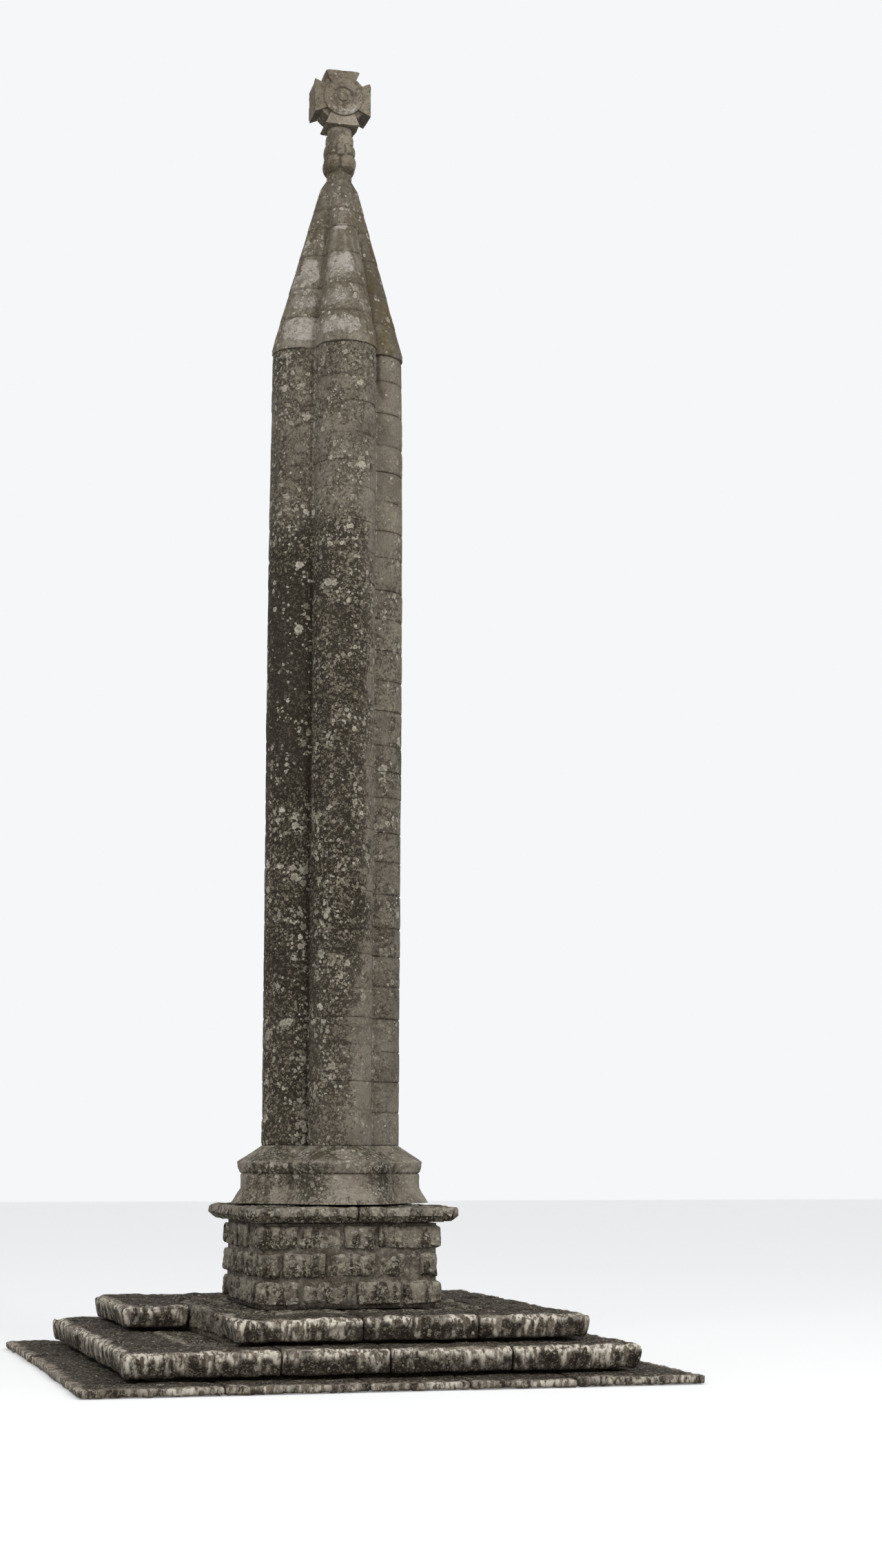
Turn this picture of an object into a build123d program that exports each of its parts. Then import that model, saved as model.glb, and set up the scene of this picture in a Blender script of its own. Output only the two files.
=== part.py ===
from build123d import *
import os

# A hosanna cross: a tall shaft of four half columns on a stepped platform, under a
# lobed stone cap with a small thick cross. Sizes are in millimetres, +Z is up, and
# the origin is on the ground under the middle of the shaft. -Y is the front.

# Platform of three steps, each a ring of stone rows round a core
platform_half = 2300.0                    # half the side of the lowest step
step_tread = [350.0, 300.0]               # how far each higher step stands back
step_rise = [90.0, 210.0, 200.0]          # height of each step, lowest first
row_depth = 550.0                         # how far a row of step stones reaches inwards
worn_edge = 22.0                          # rounding of the worn treads
lost_from = 100.0                         # the top step's left row survives behind this Y

# Pedestal
die_half = 740.0                          # half the side of the pedestal block
die_height = 630.0
slab_half = 840.0                         # half the side of its covering slab
slab_thick = 140.0
slab_chamfer = 50.0                       # slope under the slab's edge

# Plan of the shaft: four circles round a square
lobe_offset = 308.0                       # from the shaft's axis to the middle of a half column
lobe_radius = 250.0                       # radius of a half column

# Lobed base under the shaft, as growths of the half columns' radius
foot_growth = 240.0                       # at the slab
throat_growth = 170.0                     # at the plain band
nose_growth = 200.0                       # at the lower edge of the slope
foot_height = 115.0                       # flared foot
band_height = 115.0                       # plain band, up to the joint between the two courses
nose_height = 90.0                        # flared edge under the slope
slope_height = 130.0

# Shaft
shaft_height = 6530.0
course_pairs = 13                         # pieces of the shaft, two courses of stone each
swell = 0.018                             # how much the shaft widens near the middle
taper = 0.020                             # how much it has lost at its top

# Cap
cap_overhang = 14.0                       # the cap's edge stands out past the shaft
cap_lip = 45.0                            # upright edge under the slope
cap_courses = [235.0, 260.0, 300.0, 250.0, 180.0, 200.0]
cap_top_scale = 0.30                      # the plan's scale at the top of the slope

# Neck over the cap
shoulder_height = 80.0
shoulder_scale = 0.215                    # the plan's scale at the top of the shoulder
neck_radius = 104.0
neck_height = 50.0                        # above the shoulder

# Knop: a round stem with two tiers of lobes and a ring
knop_turn = -8.0                          # degrees, the knop stands a little askew on the shaft
stem_radius = 108.0
stem_height = 58.0                        # bare stem between the ring and the cross
lower_lobes = 4
lower_lobe_foot = 13.0                    # bare stem under the lobes
lower_lobe_half_height = 92.0
lower_lobe_reach = 162.0                  # how far the lobes stand out from the axis
lower_lobe_radius = 86.0
upper_lobes = 10
upper_lobe_rise = 110.0                   # from the middle of the lower lobes
upper_lobe_half_height = 66.0
upper_lobe_reach = 141.0
upper_lobe_radius = 44.0
ring_rise = 100.0                         # from the middle of the upper lobes
ring_half_height = 51.0
ring_reach = 124.0

# Cross: four flared arms, a thin disc behind them and a round medallion on each face
cross_half = 245.0                        # from its middle to the end of an arm
cross_depth = 280.0                       # front to back
arm_end_half = 150.0                      # half an arm's width at its end
arm_root_half = 42.0                      # the same, carried on to the middle
disc_radius = 215.0
disc_setback = 22.0                       # the disc's faces lie behind the arms' faces
medallion_radius = 168.0
medallion_height = 20.0
dish_radius = 94.0
dish_depth = 12.0
boss_radius = 46.0
cross_turn = -2.0                         # degrees

# Steps, and heights above the ground, each one stacked on what carries it
step_half = [platform_half - sum(step_tread[:n]) for n in range(len(step_rise))]
step_top = [sum(step_rise[:n + 1]) for n in range(len(step_rise))]
slab_bottom = step_top[-1] + die_height
slab_top = slab_bottom + slab_thick
foot_top = slab_top + foot_height
base_joint = foot_top + band_height
nose_top = base_joint + nose_height
shaft_bottom = nose_top + slope_height
shaft_top = shaft_bottom + shaft_height
cap_foot = shaft_top + cap_lip
cap_levels = [cap_foot + sum(cap_courses[:n]) for n in range(len(cap_courses) + 1)]
cap_top = cap_levels[-1]
neck_shoulder = cap_top + shoulder_height
neck_top = neck_shoulder + neck_height
lower_lobe_middle = neck_top + lower_lobe_foot + lower_lobe_half_height
upper_lobe_middle = lower_lobe_middle + upper_lobe_rise
ring_middle = upper_lobe_middle + ring_rise
cross_bottom = ring_middle + ring_half_height + stem_height
cross_middle = cross_bottom + cross_half


def entasis(z):
    """Scale of the shaft's plan at a height: it swells, then narrows."""
    u = min(max((z - shaft_bottom) / (shaft_top - shaft_bottom), 0.0), 1.0)
    return 1.0 + swell * 4.0 * u * u * (1.0 - u * u) - taper * u * u


def quatrefoil(z, scale=1.0, growth=0.0):
    """The plan at a height: four circles round a square, as one flat face."""
    radius = lobe_radius * scale + growth
    offset = lobe_offset * scale
    plan = Polygon((0, -offset), (offset, 0), (0, offset), (-offset, 0))
    for turn in range(4):
        plan += Rot(0, 0, 90 * turn) * Pos(0, -offset) * Circle(radius)
    return Pos(0, 0, z) * plan.faces()[0]


def lobed(sections):
    """A solid through plans given as (height, scale, growth), with straight sides."""
    body = None
    for low, high in zip(sections[:-1], sections[1:]):
        part = loft([quatrefoil(*low), quatrefoil(*high)], ruled=True)
        body = part if body is None else body + part
    return body


def stone_row(x0, x1, y0, y1, z0, z1, worn):
    """A row of step stones. Its top edges towards the named sides are worn round."""
    row = Pos((x0 + x1) / 2, (y0 + y1) / 2, (z0 + z1) / 2) * Box(x1 - x0, y1 - y0, z1 - z0)
    top = row.edges().group_by(Axis.Z)[-1]
    sides = {
        "left": top.sort_by(Axis.X)[0], "right": top.sort_by(Axis.X)[-1],
        "front": top.sort_by(Axis.Y)[0], "back": top.sort_by(Axis.Y)[-1],
    }
    return fillet([sides[name] for name in worn], worn_edge)


def step_rows(name, half, z0, z1):
    """The four rows of one step: front and back run through, the sides fit between."""
    inner = half - row_depth
    return {
        name + "_front": stone_row(-half, half, -half, -inner, z0, z1, ["front", "left", "right"]),
        name + "_back": stone_row(-half, half, inner, half, z0, z1, ["back", "left", "right"]),
        name + "_left": stone_row(-half, -inner, -inner, inner, z0, z1, ["left"]),
        name + "_right": stone_row(inner, half, -inner, inner, z0, z1, ["right"]),
    }


def platform():
    """Three steps. The top one has lost the front half of its left row."""
    pieces = {}
    bottoms = [0.0] + step_top[:-1]
    for name, half, z0, z1 in zip(["lower_step", "middle_step", "upper_step"], step_half, bottoms, step_top):
        pieces.update(step_rows(name, half, z0, z1))
    half, z0, z1 = step_half[-1], bottoms[-1], step_top[-1]
    inner = half - row_depth
    pieces["upper_step_left"] = stone_row(-half, -inner, lost_from, inner, z0, z1, ["left", "front"])
    pieces["upper_step_front"] = stone_row(-inner, half, -half, -inner, z0, z1, ["front", "left", "right"])
    core = None
    for half, z0, z1 in zip(step_half, bottoms, step_top):
        side = 2 * (half - row_depth)
        tier = Pos(0, 0, (z0 + z1) / 2) * Box(side, side, z1 - z0)
        core = tier if core is None else core + tier
    pieces["platform_core"] = core
    return pieces


def pedestal():
    """A square block under a slab whose underside slopes back to it."""
    block = Pos(0, 0, step_top[-1] + die_height / 2) * Box(2 * die_half, 2 * die_half, die_height)
    slab = Pos(0, 0, slab_bottom + slab_thick / 2) * Box(2 * slab_half, 2 * slab_half, slab_thick)
    slab = chamfer(slab.edges().group_by(Axis.Z)[0], slab_chamfer)
    slab = fillet(slab.edges().group_by(Axis.Z)[-1], worn_edge)
    return {"pedestal_block": block, "pedestal_slab": slab}


def base():
    """Two lobed courses: a flared foot with a plain band, then the slope to the shaft."""
    foot = lobed([
        (slab_top, 1.0, foot_growth), (foot_top, 1.0, throat_growth), (base_joint, 1.0, throat_growth),
    ])
    slope = lobed([
        (base_joint, 1.0, throat_growth), (nose_top, 1.0, nose_growth), (shaft_bottom, 1.0, 0.0),
    ])
    return {"base_foot": foot, "base_slope": slope}


def shaft():
    """Pieces of two courses each, every one a straight-sided slice of the swell."""
    height = shaft_height / course_pairs
    pieces = {}
    for n in range(course_pairs):
        z0, z1 = shaft_bottom + n * height, shaft_bottom + (n + 1) * height
        pieces[f"shaft_courses_{n + 1:02d}"] = lobed([(z0, entasis(z0), 0.0), (z1, entasis(z1), 0.0)])
    return pieces


def cap_section(z):
    """Height, scale and growth of the cap's plan on its slope."""
    u = (z - cap_foot) / (cap_top - cap_foot)
    scale = entasis(shaft_top) * (1 - u) + cap_top_scale * u
    return (z, scale, cap_overhang * (1 - u))


def cap():
    """Courses of a lobed cone. The lowest has the upright edge that throws off the rain."""
    edge = (shaft_top, entasis(shaft_top), cap_overhang)
    pieces = {}
    for n, (z0, z1) in enumerate(zip(cap_levels[:-1], cap_levels[1:])):
        sections = [cap_section(z0), cap_section(z1)]
        pieces[f"cap_course_{n + 1}"] = lobed([edge] + sections if n == 0 else sections)
    return pieces


def neck():
    """A lobed shoulder that closes the cap, and the round neck on it."""
    shoulder = lobed([(cap_top, cap_top_scale, 0.0), (neck_shoulder, shoulder_scale, 0.0)])
    height = neck_top - cap_top
    return {"cap_neck": shoulder + Pos(0, 0, cap_top + height / 2) * Cylinder(neck_radius, height)}


def spindle(radius, half_height, z, core=0.0):
    """A plump upright lobe: an arc turned about its own axis, from the core outwards."""
    arc = ThreePointArc((core, -half_height), (radius, 0), (core, half_height))
    corners = [(core, half_height), (0, half_height), (0, -half_height), (core, -half_height)]
    back = Polyline(*(corners if core else corners[1:3]))
    outline = make_face(Plane.XZ * (arc + back))
    return Pos(0, 0, z) * revolve(outline, Axis.Z, 360)


def tier_of_lobes(count, first_turn, reach, radius, half_height, z):
    """Spindles standing in a circle."""
    tier = None
    for n in range(count):
        turn = Rot(0, 0, first_turn + 360 * n / count)
        lobe = turn * Pos(0, radius - reach, 0) * spindle(radius, half_height, z)
        tier = lobe if tier is None else tier + lobe
    return tier


def knop():
    """The lobed knop between the cap and the cross, in one stone."""
    height = cross_bottom - neck_top
    body = Pos(0, 0, neck_top + height / 2) * Cylinder(stem_radius, height)
    half_step = 180 / lower_lobes             # the lower lobes stand over the shaft's valleys
    body += tier_of_lobes(lower_lobes, knop_turn + half_step, lower_lobe_reach, lower_lobe_radius,
                          lower_lobe_half_height, lower_lobe_middle)
    body += tier_of_lobes(upper_lobes, knop_turn, upper_lobe_reach, upper_lobe_radius,
                          upper_lobe_half_height, upper_lobe_middle)
    body += spindle(ring_reach, ring_half_height, ring_middle, core=stem_radius)
    return {"knop": body}


def cross():
    """Flared arms, the thin disc between them and a dished medallion on each face."""
    outline = None
    for turn in range(4):
        arm = Polyline((-arm_root_half, 0), (-arm_end_half, cross_half),
                       (arm_end_half, cross_half), (arm_root_half, 0), close=True)
        face = Rot(0, 0, 90 * turn) * make_face(arm)
        outline = face if outline is None else outline + face
    body = extrude(Plane.XZ * outline, cross_depth / 2, both=True)
    body += Rot(90, 0, 0) * Cylinder(disc_radius, cross_depth - 2 * disc_setback)
    for side in (-1, 1):
        face = cross_depth / 2 + medallion_height
        body += Pos(0, side * face / 2, 0) * Rot(90, 0, 0) * Cylinder(medallion_radius, face)
        dish = Pos(0, side * face, 0) * Rot(90, 0, 0) * (
            Cylinder(dish_radius, 2 * dish_depth) - Cylinder(boss_radius, 2 * dish_depth))
        body -= dish
    body = body & Box(2 * cross_half, 2 * cross_depth, 2 * cross_half)
    return {"cross": Pos(0, 0, cross_middle) * Rot(0, 0, cross_turn) * body}


def main():
    os.makedirs("parts", exist_ok=True)
    pieces = {}
    for group in (platform(), pedestal(), base(), shaft(), cap(), neck(), knop(), cross()):
        pieces.update(group)
    for name, solid in pieces.items():
        export_step(solid, f"parts/{name}.step")
    print(len(pieces), "pieces")


main()
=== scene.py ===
import math
import bpy
import numpy as np
from mathutils import Matrix, Vector


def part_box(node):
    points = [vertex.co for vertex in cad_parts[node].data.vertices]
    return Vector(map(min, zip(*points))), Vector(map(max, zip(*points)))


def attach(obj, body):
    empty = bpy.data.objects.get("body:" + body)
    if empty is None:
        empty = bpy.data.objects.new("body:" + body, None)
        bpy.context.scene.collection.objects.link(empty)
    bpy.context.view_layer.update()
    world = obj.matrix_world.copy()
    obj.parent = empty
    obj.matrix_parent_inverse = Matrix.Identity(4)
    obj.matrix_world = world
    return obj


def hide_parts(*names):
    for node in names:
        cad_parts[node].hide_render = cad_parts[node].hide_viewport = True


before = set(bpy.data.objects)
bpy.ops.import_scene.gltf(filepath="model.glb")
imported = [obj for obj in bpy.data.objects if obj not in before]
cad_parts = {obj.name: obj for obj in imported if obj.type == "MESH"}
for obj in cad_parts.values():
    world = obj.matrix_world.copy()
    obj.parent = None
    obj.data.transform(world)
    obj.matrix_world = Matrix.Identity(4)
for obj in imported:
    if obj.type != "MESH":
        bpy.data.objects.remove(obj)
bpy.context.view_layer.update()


# Noise and curves, worked out for whole arrays

hashSet = {"axes": (374761393, 668265263, 2147483629), "seed": 974711,
           "mix": ((13, 1274126177), (15, 2246822519)), "word": 0xFFFFFFFF, "kept": 0xFFFFFF}


def cornerValue(cell, seed):
    # a steady random number from 0 to 1 for each whole-number lattice corner
    word, kept = hashSet["word"], hashSet["kept"]
    a, b, c = hashSet["axes"]
    n = cell.astype(np.int64) & word
    h = (n[..., 0] * a + n[..., 1] * b + n[..., 2] * c + seed * hashSet["seed"]) & word
    for shift, factor in hashSet["mix"]:
        h = ((h ^ (h >> shift)) * factor) & word
    return ((h ^ (h >> 16)) & kept) / float(kept)


def softNoise(points, cell, seed):
    # value noise from -1 to 1: lattice numbers blended with 3t^2 - 2t^3 along each axis
    q = points / cell
    base = np.floor(q)
    t = q - base
    t = t * t * (3 - 2 * t)
    total = np.zeros(points.shape[:-1])
    for dx, dy, dz in np.ndindex(2, 2, 2):
        weight = np.abs(1 - dx - t[..., 0]) * np.abs(1 - dy - t[..., 1]) * np.abs(1 - dz - t[..., 2])
        total += weight * cornerValue(base + np.array([dx, dy, dz]), seed)
    return total * 2 - 1


def layeredNoise(points, cell, seed, layers=3):
    # soft noise summed over layers, each half the cell and half the weight of the one before
    total, weight, whole = 0.0, 1.0, 0.0
    for n in range(layers):
        total = total + weight * softNoise(points, cell / 2 ** n, seed + 17 * n)
        whole += weight
        weight *= 0.5
    return total / whole


def unit(value):
    # no less than 0 and no more than 1
    return np.clip(value, 0, 1)


def ease(value, low, high):
    # 0 below low, 1 above high, a smooth S between them
    t = unit((value - low) / (high - low))
    return t * t * (3 - 2 * t)


def humps(points, amount, cell, seed, low, high):
    # only the high spots of the soft noise, eased from 0 at low to the amount at high
    return amount * ease(softNoise(points, cell, seed), low, high)


def waves(points, amount, cell, seed, layers):
    # the layered noise, times the amount
    return amount * layeredNoise(points, cell, seed, layers)


def shareNoise(points, cell, seed):
    # the soft noise moved to 0 to 1
    return 0.5 + 0.5 * softNoise(points, cell, seed)


def bell(away, width):
    # 1 in the middle, e to the minus square of the distance in widths
    return np.exp(-(away / width) ** 2)


def byHeight(z, pairs):
    # straight lines between pairs of height and value
    return np.interp(z, *zip(*pairs))


def randomNumber(low, high, seed):
    # one number between the two, always the same for a seed
    return float(np.random.default_rng(seed).uniform(low, high))


# From grids of points to meshes

def closedSheet(points, marks):
    # points is a grid: rows along the piece, columns once round it; each end closes on the ring's middle
    rows, cols = points.shape[:2]
    i, j = np.arange(rows - 1)[:, None], np.arange(cols)[None, :]
    k = (j + 1) % cols
    quads = np.stack([i * cols + j, i * cols + k, (i + 1) * cols + k, (i + 1) * cols + j], -1).reshape(-1, 4)
    ring, after = np.arange(cols), (np.arange(cols) + 1) % cols
    first, top = rows * cols, (rows - 1) * cols
    low = np.stack([np.full(cols, first), after, ring], -1)
    high = np.stack([np.full(cols, first + 1), top + ring, top + after], -1)
    verts = np.vstack([points.reshape(-1, 3), points[0].mean(0), points[-1].mean(0)])
    values = {}
    for name, grid in marks.items():
        flat = np.broadcast_to(grid, (rows, cols)).reshape(-1)
        values[name] = np.concatenate([flat, [flat[:cols].mean(), flat[-cols:].mean()]])
    return {"verts": verts, "quads": quads, "tris": np.vstack([low, high]), "marks": values}


def turned(part, c, s):
    # the same part turned about Z, by the turn's cosine and sine
    x, y = part["verts"][:, 0].copy(), part["verts"][:, 1].copy()
    part["verts"][:, 0], part["verts"][:, 1] = c * x - s * y, s * x + c * y
    return part


def makePiece(name, parts, material, slot, *nodes):
    # all parts in one mesh: arrays stacked, vertex numbers shifted by what came before
    shifts = np.cumsum([0] + [len(part["verts"]) for part in parts])
    verts = np.vstack([part["verts"] for part in parts])
    quads, tris = [np.vstack([part[kind] + shift for part, shift in zip(parts, shifts)])
                   for kind in ("quads", "tris")]
    mesh = bpy.data.meshes.new(name)
    mesh.vertices.add(len(verts))
    mesh.vertices.foreach_set("co", verts.astype(np.float32).ravel())
    corners = np.concatenate([quads.ravel(), tris.ravel()])
    mesh.loops.add(len(corners))
    mesh.loops.foreach_set("vertex_index", corners.astype(np.int32))
    starts = np.concatenate([np.arange(len(quads)) * 4, len(quads) * 4 + np.arange(len(tris)) * 3])
    mesh.polygons.add(len(starts))
    mesh.polygons.foreach_set("loop_start", starts.astype(np.int32))
    mesh.polygons.foreach_set("use_smooth", np.ones(len(starts), bool))
    mesh.update(calc_edges=True)
    mesh.validate()
    for key in sorted({key for part in parts for key in part["marks"]}):
        values = [part["marks"].get(key, np.zeros(len(part["verts"]))) for part in parts]
        layer = mesh.attributes.new(key, "FLOAT", "POINT")
        layer.data.foreach_set("value", np.concatenate(values).astype(np.float32))
    mesh.materials.append(material)
    piece = bpy.data.objects.new(name, mesh)
    bpy.context.scene.collection.objects.link(piece)
    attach(piece, "root")
    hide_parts(*nodes)
    print(name, len(quads) * 2 + len(tris), "triangles")


# Node trees

def paint(r, g, b):
    # a colour as seen on screen, 0 to 255, turned into the linear numbers that nodes take
    c = np.array([r, g, b]) / 255.0
    linear = np.where(c <= 0.04045, c / 12.92, ((c + 0.055) / 1.055) ** 2.4)
    return (*[float(v) for v in linear], 1.0)


class Wiring:
    # adds nodes to one tree and gives back their outputs; an input is a plain value or another node's output

    def __init__(self, tree):
        self.tree = tree

    def add(self, kind, inputs=None, **settings):
        # one node, with its inputs by name or number and its settings by attribute; gives all its outputs
        node = self.tree.nodes.new("ShaderNode" + kind)
        for key, value in settings.items():
            setattr(node, key, value)
        for key, value in (inputs or {}).items():
            if isinstance(value, bpy.types.NodeSocket):
                self.tree.links.new(value, node.inputs[key])
            else:
                node.inputs[key].default_value = value
        return node.outputs

    def math(self, operation, *values, clamp=False):
        # one sum, cut to 0 to 1 where clamp is set
        return self.add("Math", dict(enumerate(values)), operation=operation, use_clamp=clamp)[0]

    def times(self, a, b, clamp=False):
        return self.math("MULTIPLY", a, b, clamp=clamp)

    def plus(self, a, b, clamp=False):
        return self.math("ADD", a, b, clamp=clamp)

    def ease(self, value, low, high, outLow=0.0, outHigh=1.0):
        # a smooth S from outLow at low to outHigh at high
        inputs = {"Value": value, "From Min": low, "From Max": high, "To Min": outLow, "To Max": outHigh}
        return self.add("MapRange", inputs, interpolation_type="SMOOTHSTEP")[0]

    def blend(self, factor, a, b, mode="MIX"):
        # the second colour over the first by the factor
        return self.add("Mix", {0: factor, 6: a, 7: b}, data_type="RGBA", blend_type=mode)[2]

    def cover(self, colour, mask, look, layer):
        # a layer's own colour over what lies below, by its mask times its depth
        return self.blend(self.times(mask, look[layer + "Depth"]), colour, look[layer + "Colour"])

    def noise(self, vector, scale, detail=4.0, roughness=0.6, distortion=0.0, output="Fac"):
        # layered noise round 0.5, about one wave in 1 / scale metres
        inputs = {"Vector": vector, "Scale": scale, "Detail": detail, "Roughness": roughness,
                  "Distortion": distortion}
        return self.add("TexNoise", inputs)[output]

    def stretch(self, vector, scale, shift=(0.0, 0.0, 0.0)):
        # the place times the scale plus the shift: a scale under 1 draws marks out along that axis
        return self.add("Mapping", {"Vector": vector, "Scale": scale, "Location": shift})[0]

    def wavy(self, vector, scale, detail, roughness, amount):
        # the place moved about by coloured noise, which makes round cells wavy at the rim
        wave = self.noise(vector, scale, detail, roughness, output="Color")
        centred = self.add("VectorMath", {0: wave, 1: (0.5, 0.5, 0.5)}, operation="SUBTRACT")[0]
        bend = self.add("VectorMath", {0: centred, "Scale": amount}, operation="SCALE")[0]
        return self.add("VectorMath", {0: vector, 1: bend}, operation="ADD")[0]

    def cells(self, vector, size):
        # a pattern of cells about as wide as the size
        scale = self.math("DIVIDE", 1.0, size)
        return self.add("TexVoronoi", {"Vector": vector, "Scale": scale, "Randomness": 1.0})

    def grown(self, main, share, other, amount, gain, start, soft):
        # two noises mixed, kept above an edge that comes down from its start as the amount grows
        both = self.plus(self.times(main, share), self.times(other, 1 - share))
        edge = self.math("MULTIPLY_ADD", amount, -gain, start)
        return self.ease(both, edge, self.plus(edge, soft))

    def use(self, group, **inputs):
        # a group's masks for these inputs
        return self.add("Group", inputs, node_tree=groups[group])


def makeGroup(body, **numbers):
    # a node group named after the function that wires it; it takes a vector and numbers, and gives masks
    tree = bpy.data.node_groups.new(body.__name__, "ShaderNodeTree")
    tree.interface.new_socket("Vector", in_out="INPUT", socket_type="NodeSocketVector")
    for socket, value in numbers.items():
        tree.interface.new_socket(socket, in_out="INPUT", socket_type="NodeSocketFloat").default_value = value
    masks = body(Wiring(tree), tree.nodes.new("NodeGroupInput").outputs)
    for socket in masks:
        tree.interface.new_socket(socket, in_out="OUTPUT", socket_type="NodeSocketFloat")
    out = tree.nodes.new("NodeGroupOutput")
    for socket, value in masks.items():
        tree.links.new(value, out.inputs[socket])
    return tree


def lichenRosettes(w, given):
    # round lichens: a disc in some of the cells of a cell pattern, its own size in each, wavy at the rim
    cells = w.cells(w.wavy(given["Vector"], 46.0, 4.0, 0.7, w.times(given["Cell"], 0.75)), given["Cell"])
    dice = w.add("SeparateColor", {0: cells["Color"]})
    there = w.math("LESS_THAN", dice[1], given["Cover"])
    radius = w.times(w.math("MULTIPLY_ADD", dice[0], 0.65, 0.35), given["Largest"])
    share = w.math("DIVIDE", cells["Distance"], radius)
    mask = w.times(w.ease(share, 1.0, 0.84), there)
    return {"Mask": mask, "Rim": w.times(mask, w.ease(share, 0.25, 0.75)), "Shade": dice[2]}


def mottledCrust(w, given):
    # mottled crust: blotches of noise whose share grows with the amount, and small dark flecks
    blotch = w.noise(given["Vector"], given["Scale"], 5.0, 0.68, 0.5)
    broad = w.noise(given["Vector"], 7.0, 3.0, 0.55)
    flecks = w.ease(w.noise(given["Vector"], 64.0, 3.0), 0.54, 0.63)
    return {"Mask": w.grown(blotch, 0.7, broad, given["Amount"], 0.24, 0.62, 0.055), "Flecks": flecks}


def lichenScales(w, given):
    # small lichens crowded together: only their rims show, as pale curls broken by noise
    cells = w.cells(w.wavy(given["Vector"], 60.0, 3.0, 0.6, given["Cell"]), given["Cell"])
    band = w.times(w.ease(cells["Distance"], 0.22, 0.36), w.ease(cells["Distance"], 0.62, 0.50))
    broken = w.ease(w.noise(given["Vector"], 48.0, 3.0), 0.44, 0.55)
    return {"Mask": w.times(band, broken), "Shade": w.add("SeparateColor", {0: cells["Color"]})[0]}


def limestoneGrain(w, given):
    # coarse clouds, fine grains and small pits, as a shade round 0.5 and a height
    place = given["Vector"]
    speck = w.noise(place, given["Fine"], 4.0, 0.72)
    crust = w.noise(place, 26.0, 6.0, 0.70, 0.4)
    pits = w.times(w.ease(w.noise(place, 55.0, 2.0, 0.5), 0.60, 0.72), given["Pits"])
    rough = w.plus(w.times(crust, 0.75), w.times(speck, 0.30))
    cloud = w.noise(place, 3.1, 5.0, 0.62)
    return {"Cloud": cloud, "Speck": speck, "Height": w.math("SUBTRACT", rough, pits)}


def rainStreaks(w, given):
    # rain marks: noise drawn out along Z, kept where a broad noise allows it
    thin = w.noise(w.stretch(given["Vector"], (1.0, 1.0, 0.10)), given["Width"], 4.0, 0.65)
    where = w.noise(given["Vector"], 1.7, 3.0, 0.5)
    return {"Mask": w.grown(thin, 0.65, where, given["Amount"], 0.30, 0.68, 0.10)}


def darkFilm(w, given):
    # dark growth: an amount from 0 to 1 broken up by two noises, solid where it is near 1
    broad = w.noise(given["Vector"], given["Patch"], 5.0, 0.65, 0.3)
    fine = w.noise(given["Vector"], 36.0, 5.0, 0.72, 0.4)
    return {"Mask": w.grown(broad, 0.42, fine, given["Amount"], 0.36, 0.62, 0.08)}


groups = {"rosettes": makeGroup(lichenRosettes, Cell=0.08, Cover=0.5, Largest=0.42),
          "crust": makeGroup(mottledCrust, Amount=0.5, Scale=42.0),
          "scales": makeGroup(lichenScales, Cell=0.026),
          "grain": makeGroup(limestoneGrain, Fine=90.0, Pits=0.5),
          "streaks": makeGroup(rainStreaks, Width=22.0, Amount=0.5),
          "film": makeGroup(darkFilm, Amount=0.5, Patch=4.0)}
print("node groups:", ", ".join(groups))


# Materials: each layer lies over the one before

# the joint mark holds dark joints and painted shade in valleys, gaps, creases and under the lip; the film
# mark holds dark growth and some painted shade; the spot mark is painted shade in a hole
markNames = ("tone", "joint", "worn", "spot", "film", "pale", "calm")


def bareStone(w, place, mark, grain, look):
    # two tones in clouds, each block its own shade, grains, rain marks, an ochre side, large pale patches
    colour = w.blend(w.ease(grain["Cloud"], 0.36, 0.64), look["stoneDark"], look["stoneLight"])
    shade = w.times(w.math("SUBTRACT", mark["tone"], 0.5), look["toneSpread"])
    shade = w.plus(shade, w.times(w.math("SUBTRACT", grain["Speck"], 0.5), look["speck"]))
    lift = w.plus(shade, 1.0)
    colour = w.blend(1.0, colour, w.add("CombineColor", {0: lift, 1: lift, 2: lift})[0], "MULTIPLY")
    streak = w.use("streaks", Vector=place, Width=look["streakWidth"], Amount=look["streaks"])["Mask"]
    colour = w.cover(colour, streak, look, "streak")
    if look["ochreDepth"]:
        side = w.ease(w.add("SeparateXYZ", {0: place})[0], *look["ochreSide"])
        drawn = w.noise(w.stretch(place, (1.0, 1.0, 0.3)), 9.0, 5.0)
        colour = w.cover(colour, w.times(side, w.ease(drawn, 0.38, 0.60)), look, "ochre")
    lobes = w.math("SUBTRACT", w.noise(place, 22.0, 6.0, 0.72), 0.5)
    fringe = w.plus(mark["pale"], w.times(lobes, 1.2))
    return w.cover(colour, w.ease(fringe, 0.44, 0.56), look, "pale")


def growthAndUndersideShade(w, place, mark, upward, look):
    # dark growth, less on worn stone, and painted shade on faces that point down: the mask and the amount
    amount = w.times(mark["film"], look["film"])
    amount = w.plus(amount, w.times(mark["worn"], -0.5), True)
    # painted shade: the amount rises on faces that point down
    amount = w.plus(amount, w.times(w.ease(upward, -0.25, -0.85), look["underside"]), True)
    return w.use("film", Vector=place, Amount=amount, Patch=look["patch"])["Mask"], amount


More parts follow.
